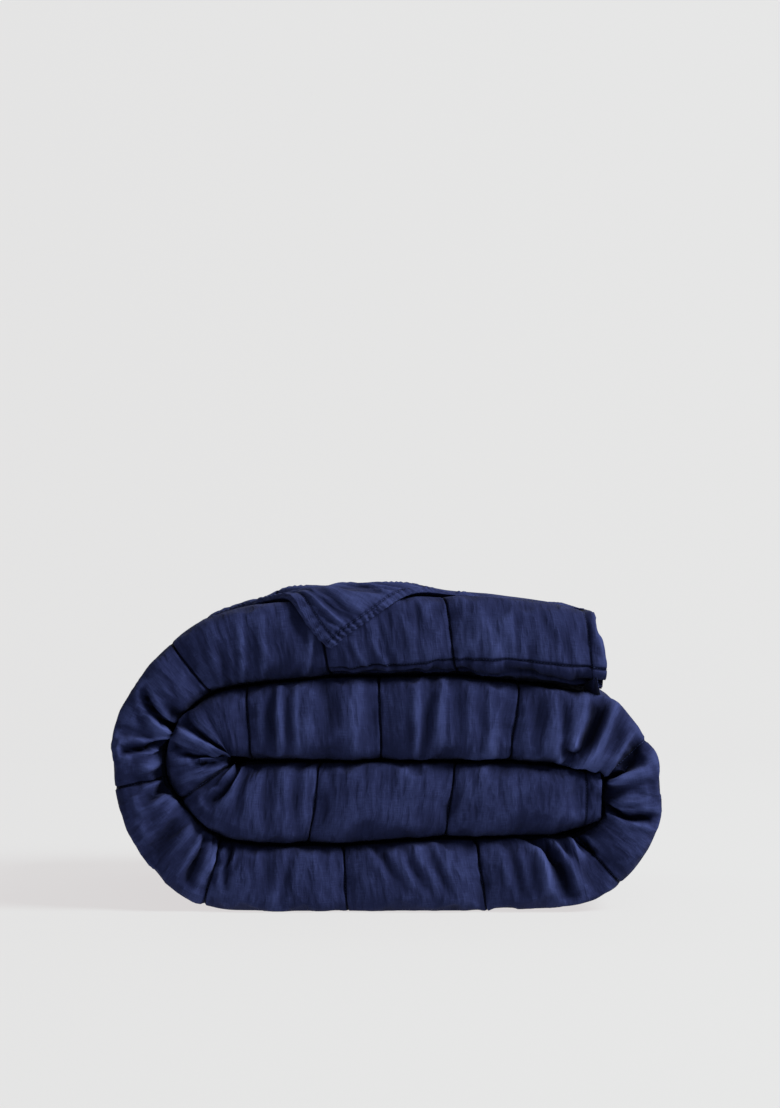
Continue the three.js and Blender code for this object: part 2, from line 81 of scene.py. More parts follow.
# The strip's path from its inner end to its outer end: the middle of the four plies, how thick they
# are, which way the path runs, how far the face leans and how far the front is tucked in. Seams are
# numbered from the outer hem; ribs without one are the middles of boxes that lie in a turn.
Rib = namedtuple("Rib", "at x z thick runs lean tuck seam steps")
RIBS = [
    Rib("inner edge", 221.0, 116.5, 50, 180, 0, 10, None, 1),
    Rib("inner hem", 205.9, 116.5, 58, 180, 0, 9, 16, 4),
    Rib("seam 15", 65.3, 114.4, 76, 179, 0, 7, 15, 4),
    Rib("seam 14", -75.8, 111.3, 83, 180, 0, 7, 14, 6),
    Rib("seam 13", -189.1, 133.2, 64, 125, 0, 10, 13, 3),
    Rib("inner left turn", -196.5, 157.3, 62, 90, 0, 5, None, 3),
    Rib("inner left turn, top", -181.3, 185.5, 62, 37, 0, 7, None, 3),
    Rib("seam 12", -144.7, 193.3, 70, 5, 0, 8, 12, 4),
    Rib("seam 11", -7.8, 198.5, 86, 1, 0, 7, 11, 4),
    Rib("seam 10", 132.2, 196.5, 79, -3, 0, 7, 10, 3),
    Rib("right shoulder", 214.1, 185.4, 78, -24, 0, 3, None, 3),
    Rib("seam 9", 250.5, 161.6, 61.5, -47, 0, 8, 9, 3),
    Rib("right turn", 263.3, 115.5, 57.5, -90, 0, 3, None, 3),
    Rib("seam 8", 224.8, 46.8, 66, -137, 0, 8, 8, 5),
    Rib("seam 7", 97.7, 34.0, 77, 180, 0, 7, 7, 4),
    Rib("seam 6", -43.4, 29.8, 71, 180, 0, 7, 6, 4),
    Rib("seam 5", -182.7, 37.2, 68, 166, 0, 9, 5, 3),
    Rib("left turn, low", -228.7, 70.5, 68, 131, 0, 4, None, 3),
    Rib("seam 4", -263.8, 130.9, 53, 101, 0, 8, 4, 3),
    Rib("left turn, high", -249.9, 208.9, 58, 53, 0, 9, None, 3),
    Rib("seam 3", -205.2, 252.5, 64, 38, 0, 9, 3, 5),
    Rib("seam 2", -67.4, 283.7, 78, 4, 0, 3, 2, 4),
    Rib("seam 1", 65.3, 286.3, 80, -2, 0, 6, 1, 4),
    Rib("outer hem", 210.0, 271.2, 82, -6, 14, 6, 0, 1),
    Rib("outer edge", 222.1, 267.5, 71, -12, 20, 9, None, 1),
]
HEART_RIBS = (4, 5, 6)         # the tightest turn, whose inner face is already pinched shut
COLUMN_PITCH = 3.5             # mean spacing of the mesh along the strip
FEWEST_COLUMNS = 5             # from one rib to the next
CROWDING = 0.25                # how much closer the columns stand beside a seam
SEAM_LIP = 0.7                 # one more column this far to each side of a seam


def ease(start, end, value):
    """0 at start, 1 at end, eased between and held beyond."""
    f = np.clip((value - start) / (end - start), 0, 1)
    return f * f * (3 - 2 * f)


def plateau(value, start, full, fade, end, height=1.0):
    """Eased up from 0 at start to its height at full, and down again from fade to end."""
    return height * ease(start, full, value) * (1 - ease(fade, end, value))


def bell(value, width):
    """1 where the value is 0, falling off to both sides over the width."""
    return np.exp(-((value / width) ** 2))


def read_off(rows, places, column="by"):
    """A column of a table, read off between its rows. The table's first column says where."""
    return np.interp(places, [row[0] for row in rows], [getattr(row, column) for row in rows])


def on_path(a, b, f):
    """The strip a fraction f of the way from rib a to rib b.

    Rows: x, z, which way the face looks in x and in z, half the thickness, how far it is tucked in.
    """
    chord = math.hypot(b.x - a.x, b.z - a.z)
    turn = math.radians((b.runs - a.runs + 180) % 360 - 180)
    pull = chord if abs(turn) < 1e-3 else chord * turn / 2 / math.sin(turn / 2)
    ways = [np.array([math.cos(math.radians(r.runs)), math.sin(math.radians(r.runs))]) for r in (a, b)]
    h1 = 2 * f**3 - 3 * f**2 + 1
    h2 = f**3 - 2 * f**2 + f
    h3 = f**3 - f**2
    x = h1 * a.x + h2 * ways[0][0] * pull + (1 - h1) * b.x + h3 * ways[1][0] * pull
    z = h1 * a.z + h2 * ways[0][1] * pull + (1 - h1) * b.z + h3 * ways[1][1] * pull
    g1 = 6 * f * f - 6 * f
    g2 = 3 * f * f - 4 * f + 1
    g3 = 3 * f * f - 2 * f
    dx = g1 * (a.x - b.x) + (g2 * ways[0][0] + g3 * ways[1][0]) * pull
    dz = g1 * (a.z - b.z) + (g2 * ways[0][1] + g3 * ways[1][1]) * pull
    blend = f * f * (3 - 2 * f)
    face = np.arctan2(dz, dx) + np.radians(90 + a.lean + (b.lean - a.lean) * blend)
    from_a = f * chord
    from_b = (1 - f) * chord
    drawn = np.zeros_like(f)
    tuck = np.zeros_like(f)
    for rib, far, share in ((a, from_a, 1 - blend), (b, from_b, blend)):
        near = bell(far, SEAM_SPREAD)
        if rib.seam is not None:
            drawn = np.maximum(drawn, near)
        tuck = np.maximum(tuck, rib.tuck * (share if rib.seam is None else near))
    half = (a.thick + (b.thick - a.thick) * blend) / 2 - SEAM_DIP * drawn
    return np.array([x, z, np.cos(face), np.sin(face), half, tuck])


def flat_at(index):
    """Where a rib lies on the flat quilt, in mm from the outer hem's seam."""
    rib = RIBS[index]
    if rib.seam is not None:
        return rib.seam * BOX
    if index == 0:
        return RIBS[1].seam * BOX + HEM_WIDTH
    if index == len(RIBS) - 1:
        return -HEM_WIDTH
    before = max(i for i in range(index) if RIBS[i].seam is not None)
    after = min(i for i in range(index, len(RIBS)) if RIBS[i].seam is not None)
    run = [math.hypot(p.x - q.x, p.z - q.z) for p, q in zip(RIBS[before:], RIBS[before + 1:after + 1])]
    return RIBS[before].seam * BOX - BOX * sum(run[:index - before]) / sum(run)


def spacing(count, crowd_start, crowd_end):
    """Fractions from 0 up to 1, closer together at the ends that are crowded."""
    e = np.arange(count) / count
    if crowd_start and crowd_end:
        return e - CROWDING * np.sin(2 * np.pi * e) / (2 * np.pi)
    if crowd_start:
        return e - CROWDING * np.sin(np.pi * e) / np.pi
    return e + CROWDING * np.sin(np.pi * e) / np.pi if crowd_end else e


def lay_out(count_of, crowded):
    """Columns along the whole strip: their fields, flat places and places in the table of ribs."""
    fields = []
    flat = []
    place = []
    for i, (a, b) in enumerate(zip(RIBS, RIBS[1:])):
        count = count_of(a, b)
        f = spacing(count, crowded and a.seam is not None, crowded and b.seam is not None)
        lip = SEAM_LIP / math.hypot(b.x - a.x, b.z - a.z)
        if crowded and a.seam is not None:
            f = np.insert(f, 1, lip)
        if crowded and b.seam is not None:
            f = np.append(f, 1 - lip)
        if i == len(RIBS) - 2:
            f = np.append(f, 1.0)
        fields.append(on_path(a, b, f))
        flat.append(flat_at(i) + (flat_at(i + 1) - flat_at(i)) * f)
        place.append(i + f)
    return np.concatenate(fields, 1), np.concatenate(flat), np.concatenate(place)


def swells(fields, place):
    """How far each face swells behind the fold, out and in, so that the wraps lie close."""
    x, z, ox, oz, half, _ = fields
    count = len(x)
    ahead = np.arange(count)
    out = np.zeros((2, count))
    air = np.full((2, count), np.inf)
    for row, side in enumerate((1, -1)):
        px = x + ox * half * side
        pz = z + oz * half * side
        nearby = np.zeros(count, bool)
        for other in (1, -1):
            qx = x + ox * half * other
            qz = z + oz * half * other
            for i in range(1, count):
                ex = qx[i] - qx[i - 1]
                ez = qz[i] - qz[i - 1]
                f = ((px - qx[i - 1]) * ex + (pz - qz[i - 1]) * ez) / (ex * ex + ez * ez)
                f = np.clip(f, 0, 1)
                gx = qx[i - 1] + ex * f - px
                gz = qz[i - 1] + ez * f - pz
                gap = np.hypot(gx, gz)
                counts = (gx * ox + gz * oz) * side > 0
                closer = counts & (gap < air[row]) & (np.abs(ahead - i) >= NEXT_COLUMNS)
                air[row] = np.where(closer, gap, air[row])
                nearby = np.where(closer, np.abs(ahead - i) < SAME_TURN, nearby)
        shut = (air[row] > SWELL_REACH) | nearby
        if side < 0:
            shut |= np.isin(np.floor(place), HEART_RIBS)
        out[row] = np.where(shut, 0, np.clip((air[row] - SWELL_GAP) / 2, 0, MOST_SWELL))
    return out, air


def few_columns(a, b):
    return a.steps


def mesh_columns(a, b):
    return max(FEWEST_COLUMNS, round(math.hypot(b.x - a.x, b.z - a.z) / COLUMN_PITCH))


coarse, _, coarse_place = lay_out(few_columns, False)
coarse_swell, coarse_air = swells(coarse, coarse_place)
strip, flat, place = lay_out(mesh_columns, True)
path_x, path_z, out_x, out_z, half, tuck = strip
swell_out = np.interp(place, coarse_place, coarse_swell[0])
swell_in = np.interp(place, coarse_place, coarse_swell[1])
swell_out *= 1 - plateau(flat, *SLIM_TURN, SLIM_SHARE)
exposed = np.interp(place, coarse_place, (coarse_air[0] > SWELL_REACH).astype(float))
face_x = path_x + out_x * half
face_z = path_z + out_z * half
step = np.hypot(np.diff(face_x), np.diff(face_z))
along = np.append(np.cumsum(step[::-1])[::-1], 0.0)

# Where the corner is turned back over the roll, the outer ply ends at the crease and lies lower.
# Along is measured on the strip's outer face from its outer end, back from its front fold.
CORNER_TIP = (289.0, -39.0)
CREASE_OUTER = (14.0, 156.0)
CREASE_BACK = (606.0, 484.0)
CREASE_SHORT = 8.0             # the ply below ends this far short of the crease
END_SAG = 14.0                 # how far the edge along the outer end sags to the front
CORNER_PLY = 14.5              # its thickness where it stands up, and where it is pressed flat
CORNER_PRESSED = 6.5
CORNER_CLEAR = 2.6             # air between its edges and the roll
CORNER_SINKS = 1.5             # more air under its middle
CORNER_STANDS = 10.5           # how far it stands up out of the roll at its middle
STANDS_AT = (125, 222, 326, 368)         # where it rises and where it sinks again
END_THIN = 0.1                 # at the outer end it is only this much of its thickness elsewhere
END_THINS = (10, 75)           # and thickens again between these
PRESS_RANGE = (-6, 46)         # the roll gives way from here to here behind the corner's edge
PRESS_ENDS = (110, 190, 300, 400)
PRESS_EARLY = 26               # and this much sooner outside the middle two of these places


def crease_back(distance):
    """How far back the corner's crease lies."""
    slope = (CREASE_BACK[1] - CREASE_OUTER[1]) / (CREASE_BACK[0] - CREASE_OUTER[0])
    return CREASE_OUTER[1] + (distance - CREASE_OUTER[0]) * slope


def edge_back(distance):
    """How far back the front edges of the turned corner lie."""
    f_end = (distance - CORNER_TIP[0]) / (CREASE_OUTER[0] - CORNER_TIP[0])
    f_long = (distance - CORNER_TIP[0]) / (CREASE_BACK[0] - CORNER_TIP[0])
    sag = END_SAG * np.sin(np.pi * np.clip(f_end, 0, 1))
    end = CORNER_TIP[1] + f_end * (CREASE_OUTER[1] - CORNER_TIP[1]) - sag
    long = CORNER_TIP[1] + f_long * (CREASE_BACK[1] - CORNER_TIP[1])
    return np.where(distance < CORNER_TIP[0], end, long)


def corner_stands(distance):
    """How far the turned corner stands up out of the roll."""
    return plateau(distance, *STANDS_AT, CORNER_STANDS)


def at_end(distance):
    """Thickness near the outer end, as a share of that elsewhere."""
    return END_THIN + (1 - END_THIN) * ease(*END_THINS, distance)


def corner_ply(distance):
    """Thickness of the turned corner."""
    standing = corner_stands(distance) / CORNER_STANDS
    return at_end(distance) * (CORNER_PRESSED + (CORNER_PLY - CORNER_PRESSED) * standing)


def pressed(distance, back):
    """How far the outer ply is pressed in under the turned corner."""
    start, full, fade, end = PRESS_ENDS
    early = PRESS_EARLY * (ease(fade, end, distance) + 1 - ease(start, full, distance))
    inside = ease(PRESS_RANGE[0] - early, PRESS_RANGE[1] - early, back - edge_back(distance))
    air = at_end(distance) * (CORNER_CLEAR + CORNER_SINKS)
    deep = corner_ply(distance) + air - corner_stands(distance)
    return np.where(distance > CREASE_BACK[0], 0, deep * inside)


# The section of the strip is one padded sheet that goes back and forth: the outer ply, the rounded
# front, the lowest ply, the back fold, the third ply, the front of the slit and the fourth ply.
# Across is the distance on the flat quilt from the front fold; each stretch of the sheet ends where
# the next one starts.
FREE_HEM = 3.5 * BOX + HEM_WIDTH
FAR_HEM = FREE_HEM - BOXES_ACROSS * BOX - 2 * HEM_WIDTH
STRETCHES = [FREE_HEM, BOX / 2, -BOX / 2, -530.0, -560.0, -1000.0, -1030.0, FAR_HEM]
ARC_HALF = 40.0                # half a usual height of the front, to space its rows by
ARC_STEPS = 181                # points that measure its length
FREE_HEM_THINS = 46.0          # the free hem of the outer ply thins over this depth
FREE_HEM_PLY = 5.0             # down to this
DRAWN_FADES = (100, 280)       # behind the front the outer face is no longer drawn in
SHOULDER_ENDS = 0.22           # the swelling above runs this far down the rounded front
SOLE_STARTS = 0.78             # and the swelling below starts here
BACK_STARTS = 0.9              # of the lowest ply, from where its swelling fades to the back fold
HEM_SHORT = 4.0                # the fourth ply ends this much before the others
HEM_PLY = 4.0                  # and thins to this
HEM_THINS = 50.0               # over this depth


def front_arc(f, half_height, reach, start):
    """The rounded front of a fold, f from 0 at its upper end to 1 at its lower end."""
    angle = np.pi / 2 - np.pi * f
    up = np.sign(np.sin(angle)) * np.abs(np.sin(angle)) ** (2 / FOLD_POWER)
    fore = np.abs(np.cos(angle)) ** (2 / FOLD_POWER)
    return start + reach * (1 - fore), up * half_height


def by_length(half_height, reach, f):
    """Turns even steps of length over a front arc into steps of its angle."""
    fine = np.linspace(0, 1, ARC_STEPS)
    d, n = front_arc(fine, half_height, reach, 0)
    length = np.append(0, np.cumsum(np.hypot(np.diff(d), np.diff(n))))
    return np.interp(f * length[-1], length, fine)


hem_end = STRIP_DEPTH - HEM_SETBACK
turned = along < CREASE_BACK[0]
ply_end = np.where(turned, np.minimum(hem_end, crease_back(along) - CREASE_SHORT), hem_end)


# The free hems: at both ends of the strip, and below the front of its last run, where the lower
# ply's edge shows instead of a fold. The table gives that hem's stitching and edge, mm across.
FrontHem = namedtuple("FrontHem", "at stitch edge")
FRONT_HEM = [
    FrontHem(-16, -19, -60),
    FrontHem(35, -19, -45),
    FrontHem(91, -21, -46),
    FrontHem(195, -32, -54),
    FrontHem(275, -36, -58),
    FrontHem(320, -38, -58),
]
HEM_FADES = (268.0, 296.0)     # along: where the hem goes out of sight
HEM_STANDS = 1.6               # how far the hem stands out beside its stitching
HEM_SLOPE = 0.3                # how much the hem slants back to its edge
HEM_GROOVE = 2.6               # depth of its line of stitching, and half its width
STITCH_WIDTH = 1.2
HEM_STEP = 2.0                 # how far the cloth below the hem's edge lies back
hem_here = 1 - ease(*HEM_FADES, flat)
hem_stitch = read_off(FRONT_HEM, flat, "stitch")
hem_edge = read_off(FRONT_HEM, flat, "edge")
STITCH_ROW = 0.714             # rows of the front arc that follow the stitching and the hem's edge
EDGE_ROW = 0.857


def follow_hem(f):
    """Bends rows of the front arc so that two of them follow the lines of the front hem."""
    stitch = STITCH_ROW + hem_here * ((BOX / 2 - hem_stitch) / BOX - STITCH_ROW)
    edge = EDGE_ROW + hem_here * ((BOX / 2 - hem_edge) / BOX - EDGE_ROW)
    if f < STITCH_ROW:
        return f * stitch / STITCH_ROW
    if f < EDGE_ROW:
        return stitch + (f - STITCH_ROW) * (edge - stitch) / (EDGE_ROW - STITCH_ROW)
    return edge + (f - EDGE_ROW) * (1 - edge) / (1 - EDGE_ROW)


# Round the turns the outer face is drawn tight between its seams, along the top it is fuller.
Drawn = namedtuple("Drawn", "at by")
DRAWN = [
    Drawn(-16, 0), Drawn(20, -2.5), Drawn(120, -3), Drawn(170, 0), Drawn(310, -1), Drawn(350, -3),
    Drawn(395, -3), Drawn(420, -2), Drawn(450, 1.5), Drawn(470, 2.5), Drawn(490, 6.5), Drawn(525, 8.5),
    Drawn(545, 7.5), Drawn(562, 3.5), Drawn(595, 6), Drawn(630, 6.5), Drawn(665, 2.5), Drawn(700, -2),
    Drawn(735, 0), Drawn(980, 0), Drawn(1015, 5), Drawn(1050, 10.5), Drawn(1085, 10), Drawn(1120, 4.5),
    Drawn(1155, 7), Drawn(1190, 7.5), Drawn(1225, 8.5), Drawn(1245, 9), Drawn(1265, 3),
    Drawn(1290, 2), Drawn(1305, 2.5), Drawn(1335, 5.5), Drawn(1365, 3), Drawn(1400, 0),
]
SMOOTHED_OVER = 9              # columns
drawn_in = read_off(DRAWN, flat)
for _ in range(2):
    widened = np.pad(drawn_in, SMOOTHED_OVER // 2, "edge")
    drawn_in = np.convolve(widened, np.ones(SMOOTHED_OVER) / SMOOTHED_OVER, "valid")


def outer_face(stretch, f):
    """The sheet's outer face for every column: depth and offset at fraction f of a stretch."""
    rounded = FOLD_REACH + tuck
    ply = half / 2
    if stretch == 0:
        share = 1 - f
        spare = ply_end - rounded - (FREE_HEM - BOX / 2)
        in_place = rounded + (FREE_HEM - BOX / 2) * share + spare * share**8
        depth = np.where(turned, ply_end + (rounded - ply_end) * f, in_place)
        drawn = drawn_in - np.maximum(drawn_in, 0) * ease(*DRAWN_FADES, depth - rounded)
        top = half + swell_out - drawn - pressed(along, depth)
        hem = 1 - ease(0, FREE_HEM_THINS, ply_end - depth)
        return depth, top - np.where(turned, 0.0, hem) * (ply - FREE_HEM_PLY)
    if stretch == 1:
        f = follow_hem(f)
        turn = by_length(ARC_HALF, FOLD_REACH, f)
        depth, offset = front_arc(turn, half, FOLD_REACH, tuck)
        offset = np.where(offset > 0, offset * (1 - drawn_in / half), offset)
        shoulder = (1 - ease(0, SHOULDER_ENDS, f)) * (swell_out - pressed(along, depth))
        sole = ease(SOLE_STARTS, 1, f) * swell_in
        return depth, offset + shoulder - sole
    if stretch == 2:
        depth = rounded + (STRIP_DEPTH - BACK_REACH - rounded) * f
        return depth, -half - swell_in * (1 - ease(BACK_STARTS, 1, f))
    if stretch == 3:
        angle = np.pi * f
        depth = STRIP_DEPTH - BACK_REACH * (1 - np.sin(angle))
        middle = -(half + SLIT) / 2
        return depth, middle - (half - SLIT) / 2 * np.cos(angle)
    crotch = tuck + ply * CROTCH
    if stretch == 4:
        depth = STRIP_DEPTH - BACK_REACH + (crotch - STRIP_DEPTH + BACK_REACH) * f
        return depth, -SLIT
    if stretch == 5:
        return crotch - SLIT * np.sin(np.pi * f), -SLIT * np.cos(np.pi * f)
    return crotch + (hem_end - HEM_SHORT - crotch) * f, SLIT


def inner_face(stretch, f):
    """The sheet's inner face, in the same terms."""
    ply = half / 2
    if stretch == 0:
        start = tuck + ply - SLIT + OUTER_REACH
        return ply_end + (start - ply_end) * f, ply + SLIT
    if stretch == 1:
        return front_arc(f, ply + SLIT, OUTER_REACH, tuck + ply - SLIT)
    if stretch == 2:
        start = tuck + ply - SLIT + OUTER_REACH
        return start + (BACK_SLIT - start) * f, -ply - SLIT
    if stretch == 3:
        return BACK_SLIT + BACK_BULGE * np.sin(np.pi * f), -ply - SLIT * np.cos(np.pi * f)
    start = tuck + ply + SLIT
    if stretch == 4:
        return BACK_SLIT + (start + HELD_REACH - BACK_SLIT) * f, SLIT - ply
    if stretch == 5:
        return front_arc(1 - f, ply - SLIT, HELD_REACH, start)
    depth = start + HELD_REACH + (hem_end - HEM_SHORT - start - HELD_REACH) * f
    hem = ease(-HEM_THINS, 0, depth - hem_end)
    return depth, (ply - SLIT) * (1 - hem) + (SLIT + HEM_PLY) * hem


def row_places(counts):
    """Stretch and fraction of each row of the mesh across the sheet."""
    rows = []
    for stretch, fractions in enumerate(counts):
        rows += [(stretch, f) for f in fractions]
    return rows + [(len(counts) - 1, 1.0)]


def even(count):
    """Fractions from 0 up to 1, evenly."""
    return np.arange(count) / count


def crowd_seams(stretch, per_box):
    """Fractions of a stretch whose rows stand closer beside the seams along the strip."""
    start, end = STRETCHES[stretch], STRETCHES[stretch + 1]
    seams = [BOX / 2 + BOX * k for k in range(2 - BOXES_ACROSS, 4)]
    lines = [v for v in seams if min(start, end) < v < max(start, end)]
    marks = [start] + sorted(lines, reverse=start > end) + [end]
    out = []
    for i, (p, q) in enumerate(zip(marks, marks[1:])):
        count = max(2, round(per_box * abs(q - p) / BOX))
        part = spacing(count, True, True)
        out += list((p + (q - p) * part - start) / (end - start))
    return np.array(out)


FRONT_ROWS = 52
CLOSE_ROWS = 0.008             # how close three of them stand at each line of the front hem


def front_rows():
    """Even rows of the front arc, with three close ones at each line of the front hem."""
    fine = [line + near for line in (STITCH_ROW, EDGE_ROW) for near in (-CLOSE_ROWS, 0, CLOSE_ROWS)]
    coarse = [f for f in even(FRONT_ROWS) if min(abs(f - line) for line in fine) > CLOSE_ROWS]
    return np.sort(np.append(coarse, fine))


outer_rows = row_places([
    crowd_seams(0, 9), front_rows(), even(10) ** 1.8, even(6), even(4), even(2), even(6),
])
inner_rows = row_places([even(4), even(6), even(3), even(2), even(2), even(6), crowd_seams(6, 3)])


def build_side(rows, face):
    """Depth, offset and across for each column and row of one face of the sheet."""
    depth = []
    offset = []
    across = []
    for stretch, f in rows:
        d, n = (value + np.zeros_like(half) for value in face(stretch, f))
        depth.append(d)
        offset.append(n)
        v = STRETCHES[stretch] + (STRETCHES[stretch + 1] - STRETCHES[stretch]) * f
        if stretch == 0:
            v = BOX / 2 + (d - FOLD_REACH - tuck)
        if stretch == 1 and face is outer_face:
            v = BOX / 2 - BOX * follow_hem(f)
        across.append(v + 0 * d)
    return np.array(depth).T, np.array(offset).T, np.array(across).T


EndReach = namedtuple("EndReach", "offset by")
END_REACH = [                  # the outer hem leans back at its top and is rounded at its bottom
    EndReach(-42, -4), EndReach(-26, 0.5), EndReach(-10, 1.5), EndReach(2, 0.5), EndReach(16, -4.5),
    EndReach(40, -11),
]
end_share = ease(0, HEM_WIDTH, -flat)[:, None]


def to_space(depth, offset):
    """Points in the frame, in mm, from depth behind the front fold and offset from the path."""
    longer = read_off(END_REACH, offset) * end_share
    x = path_x[:, None] + out_x[:, None] * offset + CENTRE_X + longer
    z = path_z[:, None] + out_z[:, None] * offset
    return np.stack([x, depth + CENTRE_Y, z], -1)


outer_depth, outer_offset, outer_across = build_side(outer_rows, outer_face)
inner_depth, inner_offset, inner_across = build_side(inner_rows, inner_face)
outer = to_space(outer_depth, outer_offset)
inner = to_space(inner_depth, inner_offset)

# The front pulls askew: the seams lean a little, more along x for each mm across, and wander.
SeamLean = namedtuple("SeamLean", "seam by")
SEAM_LEANS = [
    SeamLean(0, 0), SeamLean(1, -0.17), SeamLean(2, -0.1), SeamLean(3, 0), SeamLean(5, 0),
    SeamLean(6, 0.06), SeamLean(7, 0.12), SeamLean(8, 0), SeamLean(9, 0), SeamLean(10, 0.05),
    SeamLean(11, 0), SeamLean(13, 0), SeamLean(14, -0.12), SeamLean(15, -0.09), SeamLean(16, 0),
]
SEAM_WANDER = 1.3
LEAN_REACH = 60.0              # mm across to each side of the front fold


def normals_of(grid):
    """Unit normals of a grid of points, outward on the sheet's outer face."""
    along_strip = np.gradient(grid, axis=0)
    across_strip = np.gradient(grid, axis=1)
    n = np.cross(along_strip, across_strip)
    return n / np.maximum(np.linalg.norm(n, axis=-1, keepdims=True), 1e-9)


FIELD_SIZE = 512
FIELD_START = (200.3, 150.7)   # keeps every place on the quilt inside the table


def field(u, v, wave_u, wave_v, seed):
    """A soft random field over the flat cloth, from -1 to 1, with waves of the given lengths."""
    table = np.random.default_rng(seed).uniform(-1, 1, (FIELD_SIZE, FIELD_SIZE))
    x = u / wave_u + FIELD_START[0]
    y = v / wave_v + FIELD_START[1]
    i = np.floor(x).astype(int)
    j = np.floor(y).astype(int)
    fx = x - i
    fy = y - j
    fx = fx * fx * (3 - 2 * fx)
    fy = fy * fy * (3 - 2 * fy)
    i %= FIELD_SIZE - 1
    j %= FIELD_SIZE - 1
    near = table[i, j] * (1 - fx) + table[i + 1, j] * fx
    far = table[i, j + 1] * (1 - fx) + table[i + 1, j + 1] * fx
    return near * (1 - fy) + far * fy


